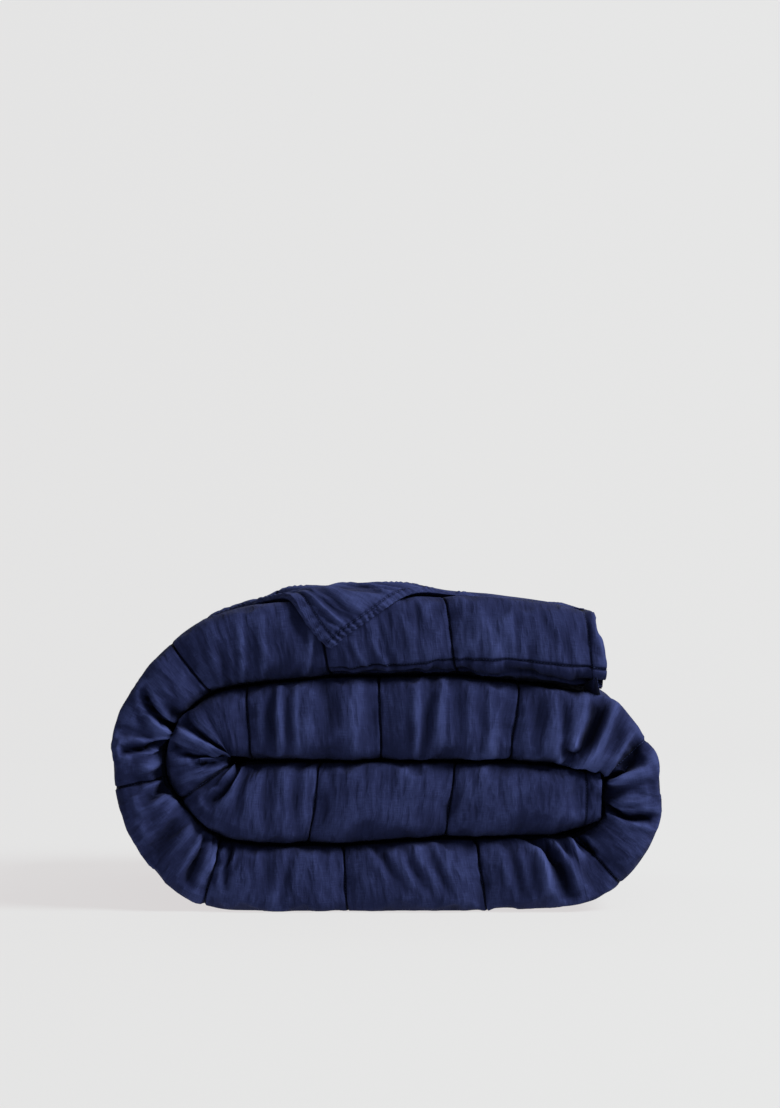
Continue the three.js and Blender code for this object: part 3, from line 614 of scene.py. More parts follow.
# The main creases, on the flat quilt: points from one end to the other (mm along from the outer
# hem's seam, mm across from the front fold), how wide each is, how deep (a ridge is negative) and
# how sharp, from 0 for a soft trough to 1 for a fold pressed in.
Crease = namedtuple("Crease", "points width depth sharp")
CREASES = [
    Crease([(470, 22), (480, -20), (482, -64)], 4, 7.2, 0.8),
    Crease([(492, -20), (500, -60)], 9, -4, 0),
    Crease([(462, -20), (464, -56)], 5, 2.6, 0.6),
    Crease([(526, 14), (518, -29), (498, -60)], 4, 7.2, 0.8),
    Crease([(545, -20), (535, -60)], 8, -3, 0),
    Crease([(584, -10), (573, -66)], 7, 4.5, 0.3),
    Crease([(608, 4), (587, -55)], 6, 2.6, 0.3),
    Crease([(640, 30), (622, -35)], 10, 3, 0),
    Crease([(682, 18), (675, -19), (670, -45)], 5, 6, 0.6),
    Crease([(718, 10), (714, -19), (717, -55)], 3.5, 2.6, 0.8),
    Crease([(694, 10), (692, -50)], 4.8, -2.5, 0),
    Crease([(786, -40), (773, 24)], 4, 1.7, 0.4),
    Crease([(760, -45), (758, 5)], 6, 1.4, 0),
    Crease([(874, -55), (898, 10)], 5, 1.7, 0.3),
    Crease([(905, -40), (919, 8)], 4, 1.7, 0.3),
    Crease([(928, -38), (945, 18)], 5, 1.8, 0.3),
    Crease([(1006, -45), (1024, 16)], 5, 2.1, 0.3),
    Crease([(1029, -72), (1053, -38), (1066, -14), (1072, 16)], 8, 6.5, 0.3),
    Crease([(1042, -40), (1048, 10)], 5.6, -2.5, 0),
    Crease([(1090, -66), (1100, -30)], 9, -4, 0),
    Crease([(1106, -66), (1120, -50), (1121, -24)], 4, 4.5, 0.7),
    Crease([(1189, -60), (1183, -22), (1189, 5), (1190, 30)], 5, 7, 0.7),
    Crease([(1205, -40), (1212, 0)], 9, -3, 0),
    Crease([(1248, -58), (1254, -16), (1260, 26)], 8, 6.5, 0.3),
    Crease([(1232, -50), (1234, 10)], 8, -2.5, 0),
    Crease([(1314, 40), (1313, 0), (1318, -26), (1330, -40)], 8, 7.5, 0.4),
    Crease([(1290, 40), (1284, -10)], 6, 1.5, 0),
    Crease([(1340, -24), (1326, -34)], 6, 5, 0.4),
    Crease([(1644, 45), (1647, -38)], 4, -1.6, 0),
    Crease([(1656, 40), (1658, -30)], 6, 1.5, 0.2),
    Crease([(1635, 45), (1637, -30)], 4, 1.2, 0.2),
    Crease([(1627, 42), (1627, -35)], 3.2, -1.2, 0),
    Crease([(1592, 38), (1594, -38)], 14, 2.2, 0),
    Crease([(1552, 35), (1555, -30)], 7, 1, 0),
    Crease([(1485, 58), (1495, -38)], 5, 2.4, 0.4),
    Crease([(1503, 35), (1504, -35)], 4, -1.4, 0),
    Crease([(1475, 40), (1478, -36)], 4, -1.4, 0),
    Crease([(1462, 36), (1455, -36)], 5, 1.4, 0.2),
    Crease([(1437, 36), (1432, -36)], 5, 1.4, 0.2),
    Crease([(1378, 30), (1372, -30)], 7, 2, 0.1),
    Crease([(1353, 32), (1337, -26)], 5, 2, 0.2),
    Crease([(1412, 20), (1410, -30)], 8, 1, 0),
    Crease([(1748, 40), (1747, 6), (1742, -50)], 3.5, 8.4, 0.9),
    Crease([(1762, 30), (1758, -30)], 5.6, -3, 0),
    Crease([(1772, 34), (1778, 0), (1770, -36)], 3.5, 6, 0.9),
    Crease([(1784, 4), (1797, -28)], 3.5, 5, 0.8),
    Crease([(1806, 20), (1810, -40)], 8, -2.5, 0),
    Crease([(1838, 12), (1846, -13), (1848, -55)], 5, 6, 0.7),
    Crease([(1834, -20), (1834, -60)], 4.8, -2, 0),
    Crease([(1872, 14), (1869, -44)], 5, 2, 0.3),
    Crease([(1936, 22), (1938, -36), (1950, -60)], 6, 2.2, 0.2),
    Crease([(356, 22), (365, -18), (374, -58)], 3.5, -1.9, 0),
    Crease([(336, 24), (342, -18), (347, -52)], 3.5, -1.7, 0),
    Crease([(292, 6), (298, -22), (304, -48)], 3.5, -1.6, 0),
    Crease([(381, 4), (388, -28), (392, -58)], 5, 2, 0.4),
    Crease([(322, 0), (327, -44)], 9, 1, 0),
    Crease([(250, -4), (243, -20), (233, -40)], 3, -1.4, 0),
    Crease([(228, -4), (221, -20), (214, -38)], 3, -1.4, 0),
    Crease([(210, 14), (206, -8), (201, -28)], 3, -1.3, 0),
    Crease([(181, 34), (172, -4)], 7, 1.2, 0),
    Crease([(95, 20), (86, -16)], 6, 0.9, 0),
    Crease([(63, 6), (60, -17)], 4, 0.9, 0.2),
    Crease([(46, 26), (38, 2)], 5, 0.8, 0),
    Crease([(27, 12), (22, -16)], 4, 1, 0.2),
    Crease([(1757, 34), (1755, 0), (1748, -44)], 3, -1.5, 0),
    Crease([(1763, 30), (1768, 0), (1763, -36)], 3, -1.3, 0),
    Crease([(1905, 20), (1907, -40)], 6, 1.2, 0),
]
SHADED_FOLD = 0.6              # creases at least this sharp get painted shade along their bottom
CREASE_REACH = 4.5             # widths to each side
CREASE_SHOULDER = (1.9, 0.9)   # the cloth heaps up this many widths beside a crease, over so many
HEAPED = 0.42                  # as a share of the depth
CREASE_GAIN = 2.0              # how much deeper all of them are than the table says


def smooth_line(points, count=14):
    """A rounded line through a few points."""
    p = np.array(points, float)
    if len(p) == 2:
        return p
    ends = np.vstack([2 * p[0] - p[1], p, 2 * p[-1] - p[-2]])
    out = []
    for i in range(len(p) - 1):
        a, b, c, d = ends[i:i + 4]
        for t in np.arange(count) / count:
            out.append(0.5 * (2 * b + (c - a) * t + (2 * a - 5 * b + 4 * c - d) * t**2
                              + (3 * b - a - 3 * c + d) * t**3))
    return np.vstack(out + [p[-1:]])


def crease_relief(u, v, crease):
    """How far one crease moves the face of the cloth at each flat place."""
    line = smooth_line(crease.points)
    reach = CREASE_REACH * crease.width
    low = line.min(0) - reach
    high = line.max(0) + reach
    inside = (u > low[0]) & (u < high[0]) & (v > low[1]) & (v < high[1])
    out = np.zeros_like(u)
    if not inside.any():
        return out
    pu = u[inside]
    pv = v[inside]
    best = np.full(pu.shape, 1e9)
    done = np.zeros(pu.shape)
    length = np.append(0, np.cumsum(np.linalg.norm(np.diff(line, axis=0), axis=1)))
    for (a, b, start) in zip(line, line[1:], length):
        e = b - a
        size = np.linalg.norm(e)
        f = np.clip(((pu - a[0]) * e[0] + (pv - a[1]) * e[1]) / size**2, 0, 1)
        away = np.hypot(a[0] + e[0] * f - pu, a[1] + e[1] * f - pv)
        closer = away < best
        best = np.where(closer, away, best)
        done = np.where(closer, (start + f * size) / length[-1], done)
    taper = np.sin(np.pi * np.clip(0.08 + 0.84 * done, 0, 1)) ** 0.6
    t = best / crease.width
    valley = (1 - crease.sharp) * np.exp(-t**2) + crease.sharp * np.exp(-1.5 * t)
    shoulder = bell(t - CREASE_SHOULDER[0], CREASE_SHOULDER[1])
    out[inside] = -crease.depth * taper * (valley - HEAPED * shoulder)
    return out


def seam_distance(value, first, last):
    """How far each flat place lies from the nearest of a row of seams BOX apart."""
    nearest = np.clip(np.round((value - first) / BOX), 0, round((last - first) / BOX))
    return np.abs(value - first - nearest * BOX)


def front_hem(u, v):
    """Relief of the hem below the front of the last run."""
    stitch = hem_stitch[:, None]
    edge = hem_edge[:, None]
    groove = HEM_GROOVE * bell(v - stitch, STITCH_WIDTH)
    proud = plateau(v, edge - 2, edge + 3, stitch - 5, stitch - 1)
    proud *= HEM_STANDS - HEM_SLOPE * (stitch - v)
    under = HEM_STEP * (1 - ease(edge - 3, edge, v))
    wavy = 0.7 * field(u, v, 8, 60, 41) * (1 - ease(stitch - 2, stitch + 14, v))
    return hem_here[:, None] * (proud + wavy - groove - under)


END_FLARE = 1.5                # how far an end hem flares out
TOP_FLARE = 5.5                # and how much more toward the top of the outer end
FLARE_GROWS = (-48, -12)       # mm across


def end_hem(u, v):
    """Relief of the end hems beside their stitching: stiff, flared at the outer end, a little wavy."""
    beyond = np.where(u < BOX, -u, u - BOXES_ALONG * BOX)
    flare = np.where(u < BOX, END_FLARE + TOP_FLARE * ease(*FLARE_GROWS, v), END_FLARE)
    flare = flare * np.clip(beyond / HEM_WIDTH, 0, 1)
    return 0.8 * field(v, u, 11, 40, 42) * ease(2, 10, beyond) + flare


SOLE_LIFT = 2.4                # the front edge of the lowest run is drawn in by this off the floor
SOLE_ALONG = (700, 750, 1000, 1050)
SOLE_ACROSS = (30, 48, 66, 96)
SOLE_SEAM = 7                  # and not beside a seam, over this width
FLAT_SEAMS = (0, 9, 16)        # these pull the cloth in less than the others
FLAT_SHARE = 0.4
CROSS_SEAMS = (0, BOXES_ALONG * BOX)
LONG_SEAMS = (FREE_HEM - HEM_WIDTH - BOXES_ACROSS * BOX, FREE_HEM - HEM_WIDTH)
Dip = namedtuple("Dip", "sharp narrow soft wide")     # a narrow groove in a wide soft one
CROSS_DIP = Dip(3.5, 0.9, 0.5, 9)
LONG_DIP = Dip(2.8, 3.0, 1.5, 14)
MOST_DIP = 4.6                 # where two grooves meet
CALMER_TOP = (30, 56, 76, 104)           # across: the seams pull less where the front meets the top
Ripple = namedtuple("Ripple", "seed wave high lean")
RIPPLES = [Ripple(18, 19, 2.1, 0.3), Ripple(19, 13, 1.7, -0.25), Ripple(23, 8, 1.2, 0.1)]


def seam_share(u):
    """How strongly the nearest seam across the strip pulls."""
    return np.where(np.isin(np.round(u / BOX), FLAT_SEAMS), FLAT_SHARE, 1.0)


def relief(u, v, calm):
    """The sewn face of the cloth: seams drawn in, boxes crowned, creases and ripples."""
    cross = seam_distance(u, *CROSS_SEAMS)
    long = seam_distance(v, *LONG_SEAMS)
    pucker = 1 + 0.35 * field(u, v, 30, 14, 5) - plateau(v, *CALMER_TOP, 0.8) * exposed[:, None]
    drawn = CROSS_DIP.sharp * seam_share(u) * pucker * np.exp(-cross / CROSS_DIP.narrow)
    drawn = drawn + CROSS_DIP.soft * bell(cross, CROSS_DIP.wide)
    sharp = LONG_DIP.sharp * pucker * np.exp(-long / LONG_DIP.narrow)
    drawn += sharp + LONG_DIP.soft * bell(long, LONG_DIP.wide)
    drawn = np.minimum(drawn, MOST_DIP)
    warped = u + 10 * field(u, v, 60, 45, 15) + 0.12 * v
    lively = np.clip(0.55 + 1.1 * field(u, v, 52, 60, 14) + 0.35 * ease(15, 50, np.abs(v)), 0.12, 1.8)
    ripple = 0.9 * field(warped, v, 9, 60, 11) + 0.7 * field(u, v, 27, 60, 13)
    for kind in RIPPLES:
        bent = field(warped + kind.lean * v, v, kind.wave, 38, kind.seed)
        where = ease(-0.2, 0.6, field(u, v, 34, 38, kind.seed + 20))
        ripple += kind.high * where * bell(bent, 0.3)
    lumps = 0.5 * field(u, v, 22, 20, 16)
    lip = 0.9 * bell(cross - 3.0, 1.3)
    beside_seam = lip + 0.9 * np.exp(-cross / 12) * field(u, v, 30, 9, 17)
    return (ripple * lively - 0.9 + lumps + beside_seam) * calm - drawn


u_outer = np.repeat(flat[:, None], outer.shape[1], 1)
leaning = np.interp(flat, [row.seam * BOX for row in SEAM_LEANS], [row.by for row in SEAM_LEANS])
askew = leaning[:, None] * np.clip(outer_across, -LEAN_REACH, LEAN_REACH)
askew = askew + SEAM_WANDER * field(u_outer, outer_across, 70, 26, 51)
outer[..., 0] += askew * (1 - ease(LEAN_REACH, 110, np.abs(outer_across))) * ease(0, 30, u_outer)
open_side = exposed[:, None]
calm = 1 - 0.75 * ease(34, 56, np.abs(outer_across)) - 0.2 * ease(22, 50, outer_across) * open_side
rise = relief(u_outer, outer_across, calm)
rise = rise + front_hem(u_outer, outer_across) + end_hem(u_outer, outer_across)
on_floor = plateau(u_outer, *SOLE_ALONG)
off_seams = 1 - bell(seam_distance(u_outer, *CROSS_SEAMS), SOLE_SEAM)
rise -= plateau(outer_across, *SOLE_ACROSS, SOLE_LIFT * on_floor * off_seams)
folds = np.zeros_like(outer_across)
crease_shade = np.zeros_like(outer_across)
for crease in CREASES:
    moved = crease_relief(u_outer, outer_across, crease)
    folds += moved
    if crease.sharp >= SHADED_FOLD:
        crease_shade = np.maximum(crease_shade, np.clip(-moved / crease.depth - 0.3, 0, 1))
folds = CREASE_GAIN * folds * (1 - 0.85 * ease(22, 56, outer_across) * open_side)
rise += folds * (1 - 0.5 * ease(46, 66, -outer_across))
stretch_of = np.array([s for s, f in outer_rows])
deep_in = ease(55, 85, np.abs(outer_across))
near_front = 1 - deep_in * np.where(outer_across > 0, 1 - open_side, 1.0)
keep = np.where(stretch_of[None, :] > 2, 0.0, near_front)
outer_normal = normals_of(outer)
middle = len(flat) // 2
foremost = np.argmin(np.abs(outer_across[middle]))
outer_normal *= -np.sign(outer_normal[middle, foremost, 1])
outer = outer + outer_normal * (rise * keep)[..., None]

# The padding pushes the cloth out between its seams: the front of the roll is simulated as cloth
# pinned along every seam, a little too large for its frame, with air pressure behind it.
SIM_SCALE = 3.0
SIM_FRAMES = 22
SIM_PRESSURE = 1.0
SIM_SPARE = -0.055             # negative shrinking: the cloth is this much larger than its frame
SIM_MOST = 4.5                 # displacements are held to this, mm
SIM_SHALLOW = 66.0             # pinned from here into the gaps
SIM_ACROSS = (-110, 120)       # the part of the sheet that is simulated
SIM_SEAM = 2                   # how wide the pins beside a seam are
SIM_SMOOTHED = 2               # times


def quads_of(ids):
    """The quads of a grid of vertices."""
    return np.stack([ids[:-1, :-1], ids[:-1, 1:], ids[1:, 1:], ids[1:, :-1]], -1).reshape(-1, 4)


def mesh_of(name, points, faces, edges=()):
    """A smooth mesh from points in metres."""
    mesh = bpy.data.meshes.new(name)
    mesh.from_pydata(points, edges, faces)
    mesh.update()
    for polygon in mesh.polygons:
        polygon.use_smooth = True
    return mesh


def put(name, data):
    """An object at the origin."""
    obj = bpy.data.objects.new(name, data)
    bpy.context.scene.collection.objects.link(obj)
    return obj


def puffed(grid, u, v):
    """Displacement of a patch of the sewn face, from a cloth simulation."""
    count, wide = grid.shape[:2]
    quads = quads_of(np.arange(count * wide).reshape(count, wide))
    start = grid * MM * SIM_SCALE
    mesh = mesh_of("puffed", start.reshape(-1, 3).tolist(), quads.tolist())
    facing = mesh.polygons[(count // 2) * (wide - 1) + wide // 2].normal[1]
    if facing > 0:
        mesh.flip_normals()
    patch = put("puffed", mesh)
    pin = bell(seam_distance(u, *CROSS_SEAMS), SIM_SEAM)
    pin = np.where(np.abs(v) >= SIM_SHALLOW, 1.0, pin)
    pin[:3] = pin[-3:] = 1
    pin[:, 0] = pin[:, -1] = 1
    pin = np.round(pin, 2).reshape(-1)
    group = patch.vertex_groups.new(name="seams")
    for weight in np.unique(pin[pin >= 0.05]):
        group.add(np.nonzero(pin == weight)[0].tolist(), float(weight), "REPLACE")
    modifier = patch.modifiers.new("cloth", "CLOTH")
    cloth = modifier.settings
    cloth.quality = 5
    cloth.mass = 0.3
    cloth.tension_stiffness = cloth.compression_stiffness = 15
    cloth.shear_stiffness = 5
    cloth.bending_stiffness = 20
    cloth.tension_damping = cloth.compression_damping = cloth.shear_damping = 5
    cloth.bending_damping = 0.5
    cloth.air_damping = 1
    cloth.vertex_group_mass = "seams"
    cloth.use_pressure = True
    cloth.uniform_pressure_force = SIM_PRESSURE
    cloth.shrink_min = SIM_SPARE
    cloth.effector_weights.gravity = 0
    modifier.collision_settings.use_collision = False
    modifier.point_cache.frame_start = 1
    modifier.point_cache.frame_end = SIM_FRAMES
    for now in range(1, SIM_FRAMES + 1):
        bpy.context.scene.frame_set(now)
    evaluated = patch.evaluated_get(bpy.context.evaluated_depsgraph_get())
    ended = np.zeros(count * wide * 3, np.float32)
    evaluated.data.vertices.foreach_get("co", ended)
    moved = (ended.reshape(count, wide, 3) - start) / SIM_SCALE / MM
    bpy.data.objects.remove(patch)
    bpy.data.meshes.remove(mesh)
    bpy.context.scene.frame_set(1)
    for _ in range(SIM_SMOOTHED):
        moved[:, 1:-1] = (moved[:, :-2] + 2 * moved[:, 1:-1] + moved[:, 2:]) / 4
    size = np.linalg.norm(moved, axis=-1, keepdims=True)
    return moved * SIM_MOST * np.tanh(size / SIM_MOST) / np.maximum(size, 1e-6)


pushed = np.zeros(outer.shape[:2])
column_like = np.median(outer_across, 0)
in_patch = (column_like > SIM_ACROSS[0]) & (column_like < SIM_ACROSS[1])
patch_rows = np.nonzero((stretch_of <= 2) & in_patch)[0]
rows_in = slice(patch_rows[0], patch_rows[-1] + 1)
shift = puffed(outer[:, rows_in], u_outer[:, rows_in], outer_across[:, rows_in])
shift *= calm[:, rows_in, None]
outer[:, rows_in] += shift
pushed[:, rows_in] = (shift * outer_normal[:, rows_in]).sum(-1)


def zip_rows(first, second, rows_a, rows_b):
    """Triangles that join two lines of vertices whose rows lie at different places."""
    a = [s + f for s, f in rows_a]
    b = [s + f for s, f in rows_b]
    i = j = 0
    faces = []
    while i < len(a) - 1 or j < len(b) - 1:
        if j == len(b) - 1 or (i < len(a) - 1 and a[i + 1] <= b[j + 1]):
            faces.append((first[i], first[i + 1], second[j]))
            i += 1
        else:
            faces.append((first[i], second[j + 1], second[j]))
            j += 1
    return faces


def mesh_sheet(name, outer, inner):
    """The closed padded sheet, from the grids of its outer and inner faces."""
    cols, wide = outer.shape[:2]
    deep = inner.shape[1]
    points = np.concatenate([outer.reshape(-1, 3), inner.reshape(-1, 3)]) * MM
    a = np.arange(cols * wide).reshape(cols, wide)
    b = np.arange(cols * deep).reshape(cols, deep) + cols * wide
    quads = []
    for grid, flip in ((a, False), (b, True)):
        quads.append(quads_of(grid)[:, ::-1] if flip else quads_of(grid))
    for row, flip in ((0, True), (-1, False)):
        q = np.stack([a[:-1, row], b[:-1, row], b[1:, row], a[1:, row]], -1)
        quads.append(q[:, ::-1] if flip else q)
    faces = [tuple(q) for q in np.concatenate(quads).tolist()]
    faces += [(p, r, q) for p, q, r in zip_rows(a[0].tolist(), b[0].tolist(), outer_rows, inner_rows)]
    faces += zip_rows(a[-1].tolist(), b[-1].tolist(), outer_rows, inner_rows)
    return put(name, mesh_of(name, points.tolist(), faces))


outer[..., 2] = np.maximum(outer[..., 2], 0)
inner[..., 2] = np.maximum(inner[..., 2], 0)
quilt = mesh_sheet("rolled_quilt", outer, inner)


def mark_cloth(obj, u, v, rise, seam, boxes):
    """The flat cloth's coordinates, in metres, as a UV map, with the relief and the seams.

    boxes: how far along and across from a crossing of seams, and whether the finish paints shade lines
    along them.
    """
    mesh = obj.data
    flat_place = np.stack([u, v], -1).reshape(-1, 2) * MM
    corner_of = np.zeros(len(mesh.loops), int)
    mesh.loops.foreach_get("vertex_index", corner_of)
    layer = mesh.uv_layers.new(name="cloth")
    layer.data.foreach_set("uv", flat_place[corner_of].astype(np.float32).reshape(-1))
    for name, values in (("rise", rise), ("seam", seam)):
        attribute = mesh.attributes.new(name, "FLOAT", "POINT")
        attribute.data.foreach_set("value", np.asarray(values, np.float32).reshape(-1))
    attribute = mesh.attributes.new("boxes", "FLOAT_VECTOR", "POINT")
    scaled = np.stack([boxes[0] * MM, boxes[1] * MM, boxes[2]], -1)
    attribute.data.foreach_set("vector", scaled.astype(np.float32).reshape(-1))


def with_inner(outer_values, inner_values):
    """Values for every vertex of the sheet."""
    return np.concatenate([outer_values.reshape(-1), inner_values.reshape(-1)])


CROSS_SHADE = 0.8               # how wide painted shade lies along the two kinds of seams
LONG_SHADE = 1.5
STITCH_SHADE = 0.8                 # how much painted shade darkens the hem's stitching and the sharp creases
FOLD_SHADE = 0.6
HEM_SHADE = 0.22               # and, as painted shade where it turns down, the hem
PUSHED_SHARE = 0.3             # how much the swelling from the simulation counts as relief
DRAWN_FROM = (90, 104)         # mm across, from where the finish paints shade lines along the seams

# Painted shade: the seams, the hem's stitching and the sharp creases are darkened where their grooves lie
# in shade, and so is the hem band where it turns down.
cross_seam_shade = seam_share(u_outer) * bell(seam_distance(u_outer, *CROSS_SEAMS), CROSS_SHADE)
painted_shade = np.maximum(cross_seam_shade, bell(seam_distance(outer_across, *LONG_SEAMS), LONG_SHADE))
from_stitch = outer_across - hem_stitch[:, None]
hem_stitch_shade = hem_here[:, None] * bell(from_stitch, STITCH_WIDTH)
in_hem = ease(-2, 2, outer_across - hem_edge[:, None]) * (1 - ease(-3, 0, from_stitch))
painted_shade = np.maximum(painted_shade, STITCH_SHADE * hem_stitch_shade) + FOLD_SHADE * crease_shade
painted_shade = painted_shade + HEM_SHADE * hem_here[:, None] * in_hem
all_along = with_inner(u_outer, np.repeat(flat[:, None], inner.shape[1], 1))
all_across = with_inner(outer_across, inner_across)
drawn_seams = with_inner(ease(*DRAWN_FROM, np.abs(outer_across)), 0 * inner_across + 1)
# The relief, with part of the simulated swelling, is stored as rise: the finish paints raised cloth paler
# and hollows darker, partly rubbed wear and partly painted light and shade.
mark_cloth(
    quilt,
    all_along,
    all_across,
    with_inner((rise + PUSHED_SHARE * pushed) * keep, 0 * inner_across),
    with_inner(painted_shade * keep, 0 * inner_across),
    (all_along, all_across - BOX / 2, drawn_seams),
)

# ------------------------------------------------------------------------------- navy linen
# Stonewashed linen, dyed navy in the piece, with slubs in both thread directions; raised cloth is paler
# and hollows darker, partly rubbed wear and partly painted light and shade, with painted highlights on
# fine ridges and painted shade along the seams. The finish follows the flat cloth.


class Wire:
    """A node's output, with arithmetic that adds Math nodes."""

    def __init__(self, finish, socket):
        self.finish = finish
        self.socket = socket

    def __add__(self, other):
        return self.finish.math("ADD", self, other)

    __radd__ = __add__

    def __mul__(self, other):
        return self.finish.math("MULTIPLY", self, other)

    __rmul__ = __mul__

    def __sub__(self, other):
        return self.finish.math("SUBTRACT", self, other)

    def __rsub__(self, other):
        return self.finish.math("SUBTRACT", other, self)

    def __pow__(self, other):
        return self.finish.math("POWER", self, other)

    def __rpow__(self, other):
        return self.finish.math("POWER", other, self)


class Finish:
    """One material, built node by node."""

    def __init__(self, name):
        self.material = bpy.data.materials.new(name)
        self.material.use_nodes = True
        self.tree = self.material.node_tree
        self.tree.nodes.clear()

    def node(self, kind, settings=None, sockets=None, output=0):
        made = self.tree.nodes.new(kind)
        for key, value in (settings or {}).items():
            if key == "stops":
                for i, (at, colour) in enumerate(value):
                    ramp = made.color_ramp.elements
                    stop = ramp[i] if i < 2 else ramp.new(at)
                    stop.position = at
                    stop.color = colour
            else:
                setattr(made, key, value)
        for key, value in (sockets or {}).items():
            if isinstance(value, Wire):
                self.tree.links.new(value.socket, made.inputs[key])
            else:
                made.inputs[key].default_value = value
        return Wire(self, made.outputs[output]) if len(made.outputs) else made

    def math(self, operation, *values):
        return self.node("ShaderNodeMath", {"operation": operation}, dict(enumerate(values)))

    def attribute(self, name, output="Fac"):
        return self.node("ShaderNodeAttribute", {"attribute_name": name}, output=output)

    def scaled(self, where, scale, turn=0.0):
        sockets = {"Vector": where, "Rotation": (0, 0, turn), "Scale": scale}
        return self.node("ShaderNodeMapping", {}, sockets)

    def blend(self, factor, first, second):
        sockets = {0: factor, 6: first, 7: second}
        return self.node("ShaderNodeMix", {"data_type": "RGBA"}, sockets, output=2)

    def noise(self, where, scale, detail=2.0, roughness=0.5):
        sockets = {"Vector": where, "Scale": scale, "Detail": detail, "Roughness": roughness}
        return self.node("ShaderNodeTexNoise", {"noise_dimensions": "3D"}, sockets)

    def surface(self, sockets):
        shader = self.node("ShaderNodeBsdfPrincipled", {}, sockets)
        self.node("ShaderNodeOutputMaterial", {}, {"Surface": shader})
        return self.material


SEAM_LINE = 0.05               # a painted shade line on a seam, and the painted shade and dip of the hollow along it, fade to this at one part in so many of a metre from the seam's middle
SEAM_FINE = 600.0              # so many of a metre from the seam's middle
SEAM_HOLLOW = 130.0
RIDGE = 0.03                   # a ridge runs where its noise is near one half


def linen(name, deep, mid, pale):
    """The quilt's cloth, in three tones of one colour."""
    finish = Finish(name)
    cloth = finish.node("ShaderNodeUVMap", {"uv_map": "cloth"})
    rise = finish.attribute("rise")
    weft = finish.scaled(cloth, (1300, 80, 1))
    warp = finish.scaled(cloth, (80, 1300, 1))
    slub = finish.noise(weft, 1.0, 3.0, 0.6) + finish.noise(warp, 1.0, 3.0, 0.6)
    cloud = finish.noise(cloth, 16.0, 3.0, 0.6)
    crinkle = finish.noise(finish.scaled(cloth, (105, 24, 1), 0.12), 1.0, 1.5, 0.5)
    rumple = finish.noise(finish.scaled(cloth, (64, 30, 1), -0.25), 1.0, 1.5, 0.5)
    wisps = finish.noise(finish.scaled(cloth, (110, 34, 1), -0.3), 1.0, 2.0, 0.5)
    # Ridges are thin crest lines in the bump, and painted highlights in the tone.
    ridges = RIDGE ** (((crinkle - 0.5) * 9.0) ** 2.0) * cloud
    ridges = ridges + RIDGE ** (((wisps - 0.5) * 10.0) ** 2.0) * (1.0 - cloud) * 0.8
    boxes = finish.attribute("boxes", "Vector")
    u, v, shown = (finish.node("ShaderNodeSeparateXYZ", {}, {0: boxes}, output=axis) for axis in range(3))
    to_seam = [finish.math("PINGPONG", run, BOX / 2 * MM) for run in (u, v)]
    nearest = finish.math("MINIMUM", *to_seam)
    # Painted shade along the seams: a thin dark line where the seams aren't modelled, a wider dark band
    # over the hollow beside each, and the seam attribute; the line and the hollow also dip the bump.
    drawn_line = SEAM_LINE ** ((nearest * SEAM_FINE) ** 2.0) * shown
    dipped = SEAM_LINE ** (nearest * SEAM_HOLLOW) * shown
    seam = finish.math("MAXIMUM", finish.attribute("seam"), drawn_line)
    # Tone: slubs and cloud are the cloth's own; rise and crinkle make raised cloth paler and hollows
    # darker, partly rubbed wear and partly painted light and shade; the ridges are painted highlights.
    tone = rise * 0.055 + 0.47 + ridges * 0.08 + (slub - 1.0) * 0.3 + (cloud - 0.5) * 0.35
    tone = tone + (crinkle - 0.5) * 0.4 - seam * 0.7 - dipped * 0.12
    ramp = finish.node("ShaderNodeValToRGB", {"stops": [(0.0, deep), (1.0, pale), (0.5, mid)]}, {0: tone})
    height = crinkle * 1.5 + rumple * 0.9 + slub * 0.09 + ridges * 0.13 - drawn_line * 0.5 - dipped * 1.2
    bump = finish.node("ShaderNodeBump", {}, {"Strength": 1.0, "Distance": 0.003, "Height": height})
    return finish.surface({
        "Base Color": ramp,
        "Roughness": 0.95,
        "Specular IOR Level": 0.06,
        "Sheen Weight": 0.02,
        "Sheen Roughness": 0.45,
        "Sheen Tint": (0.55, 0.62, 0.9, 1),
        "Normal": bump,
    })


DEEP_NAVY = (0.0022, 0.0032, 0.0125, 1)
NAVY = (0.0145, 0.0195, 0.065, 1)
PALE_NAVY = (0.056, 0.076, 0.22, 1)
navy = linen("navy_linen", DEEP_NAVY, NAVY, PALE_NAVY)
quilt.data.materials.append(navy)
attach(quilt, "root")
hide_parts("quilt_roll")

# ------------------------------------------------------------------------------- the turned corner
# The outer ply's corner at the outer end, turned back over the roll: its tip hangs over the front
# fold, two hemmed edges run back from it, and it ends in the rolled crease that it turns about. It
# is the same padded cloth, thin and stitched along its hems.

CORNER_COLUMNS = 96
CORNER_ROWS = 170
COLUMN_CROWDING = 0.85         # how much closer its columns stand beside the hems
TIP_START = 0.006              # the first row, as a share of the way from the tip to the crease
ROWS_END = 0.93
LONG_BOW = 9.0                 # how far its long edge bows out near the tip
BOW_AT = 0.12
CORNER_HEM = 5.5               # thickness at its hems
FULL_FROM = (12, 52)           # mm in from its edges, over which it fills out
TIP_FILLS = 0.16               # and it does so over this share of the way from the tip
EDGE_SHARE = 0.25              # of the hem's thickness, at the very edge
END_SLANT = 0.62               # turn the way across it into the distance from each of its edges
LONG_SLANT = 0.9
CORNER_STITCH = (9.0, 13.5)    # stitching from the end edge and from the long edge

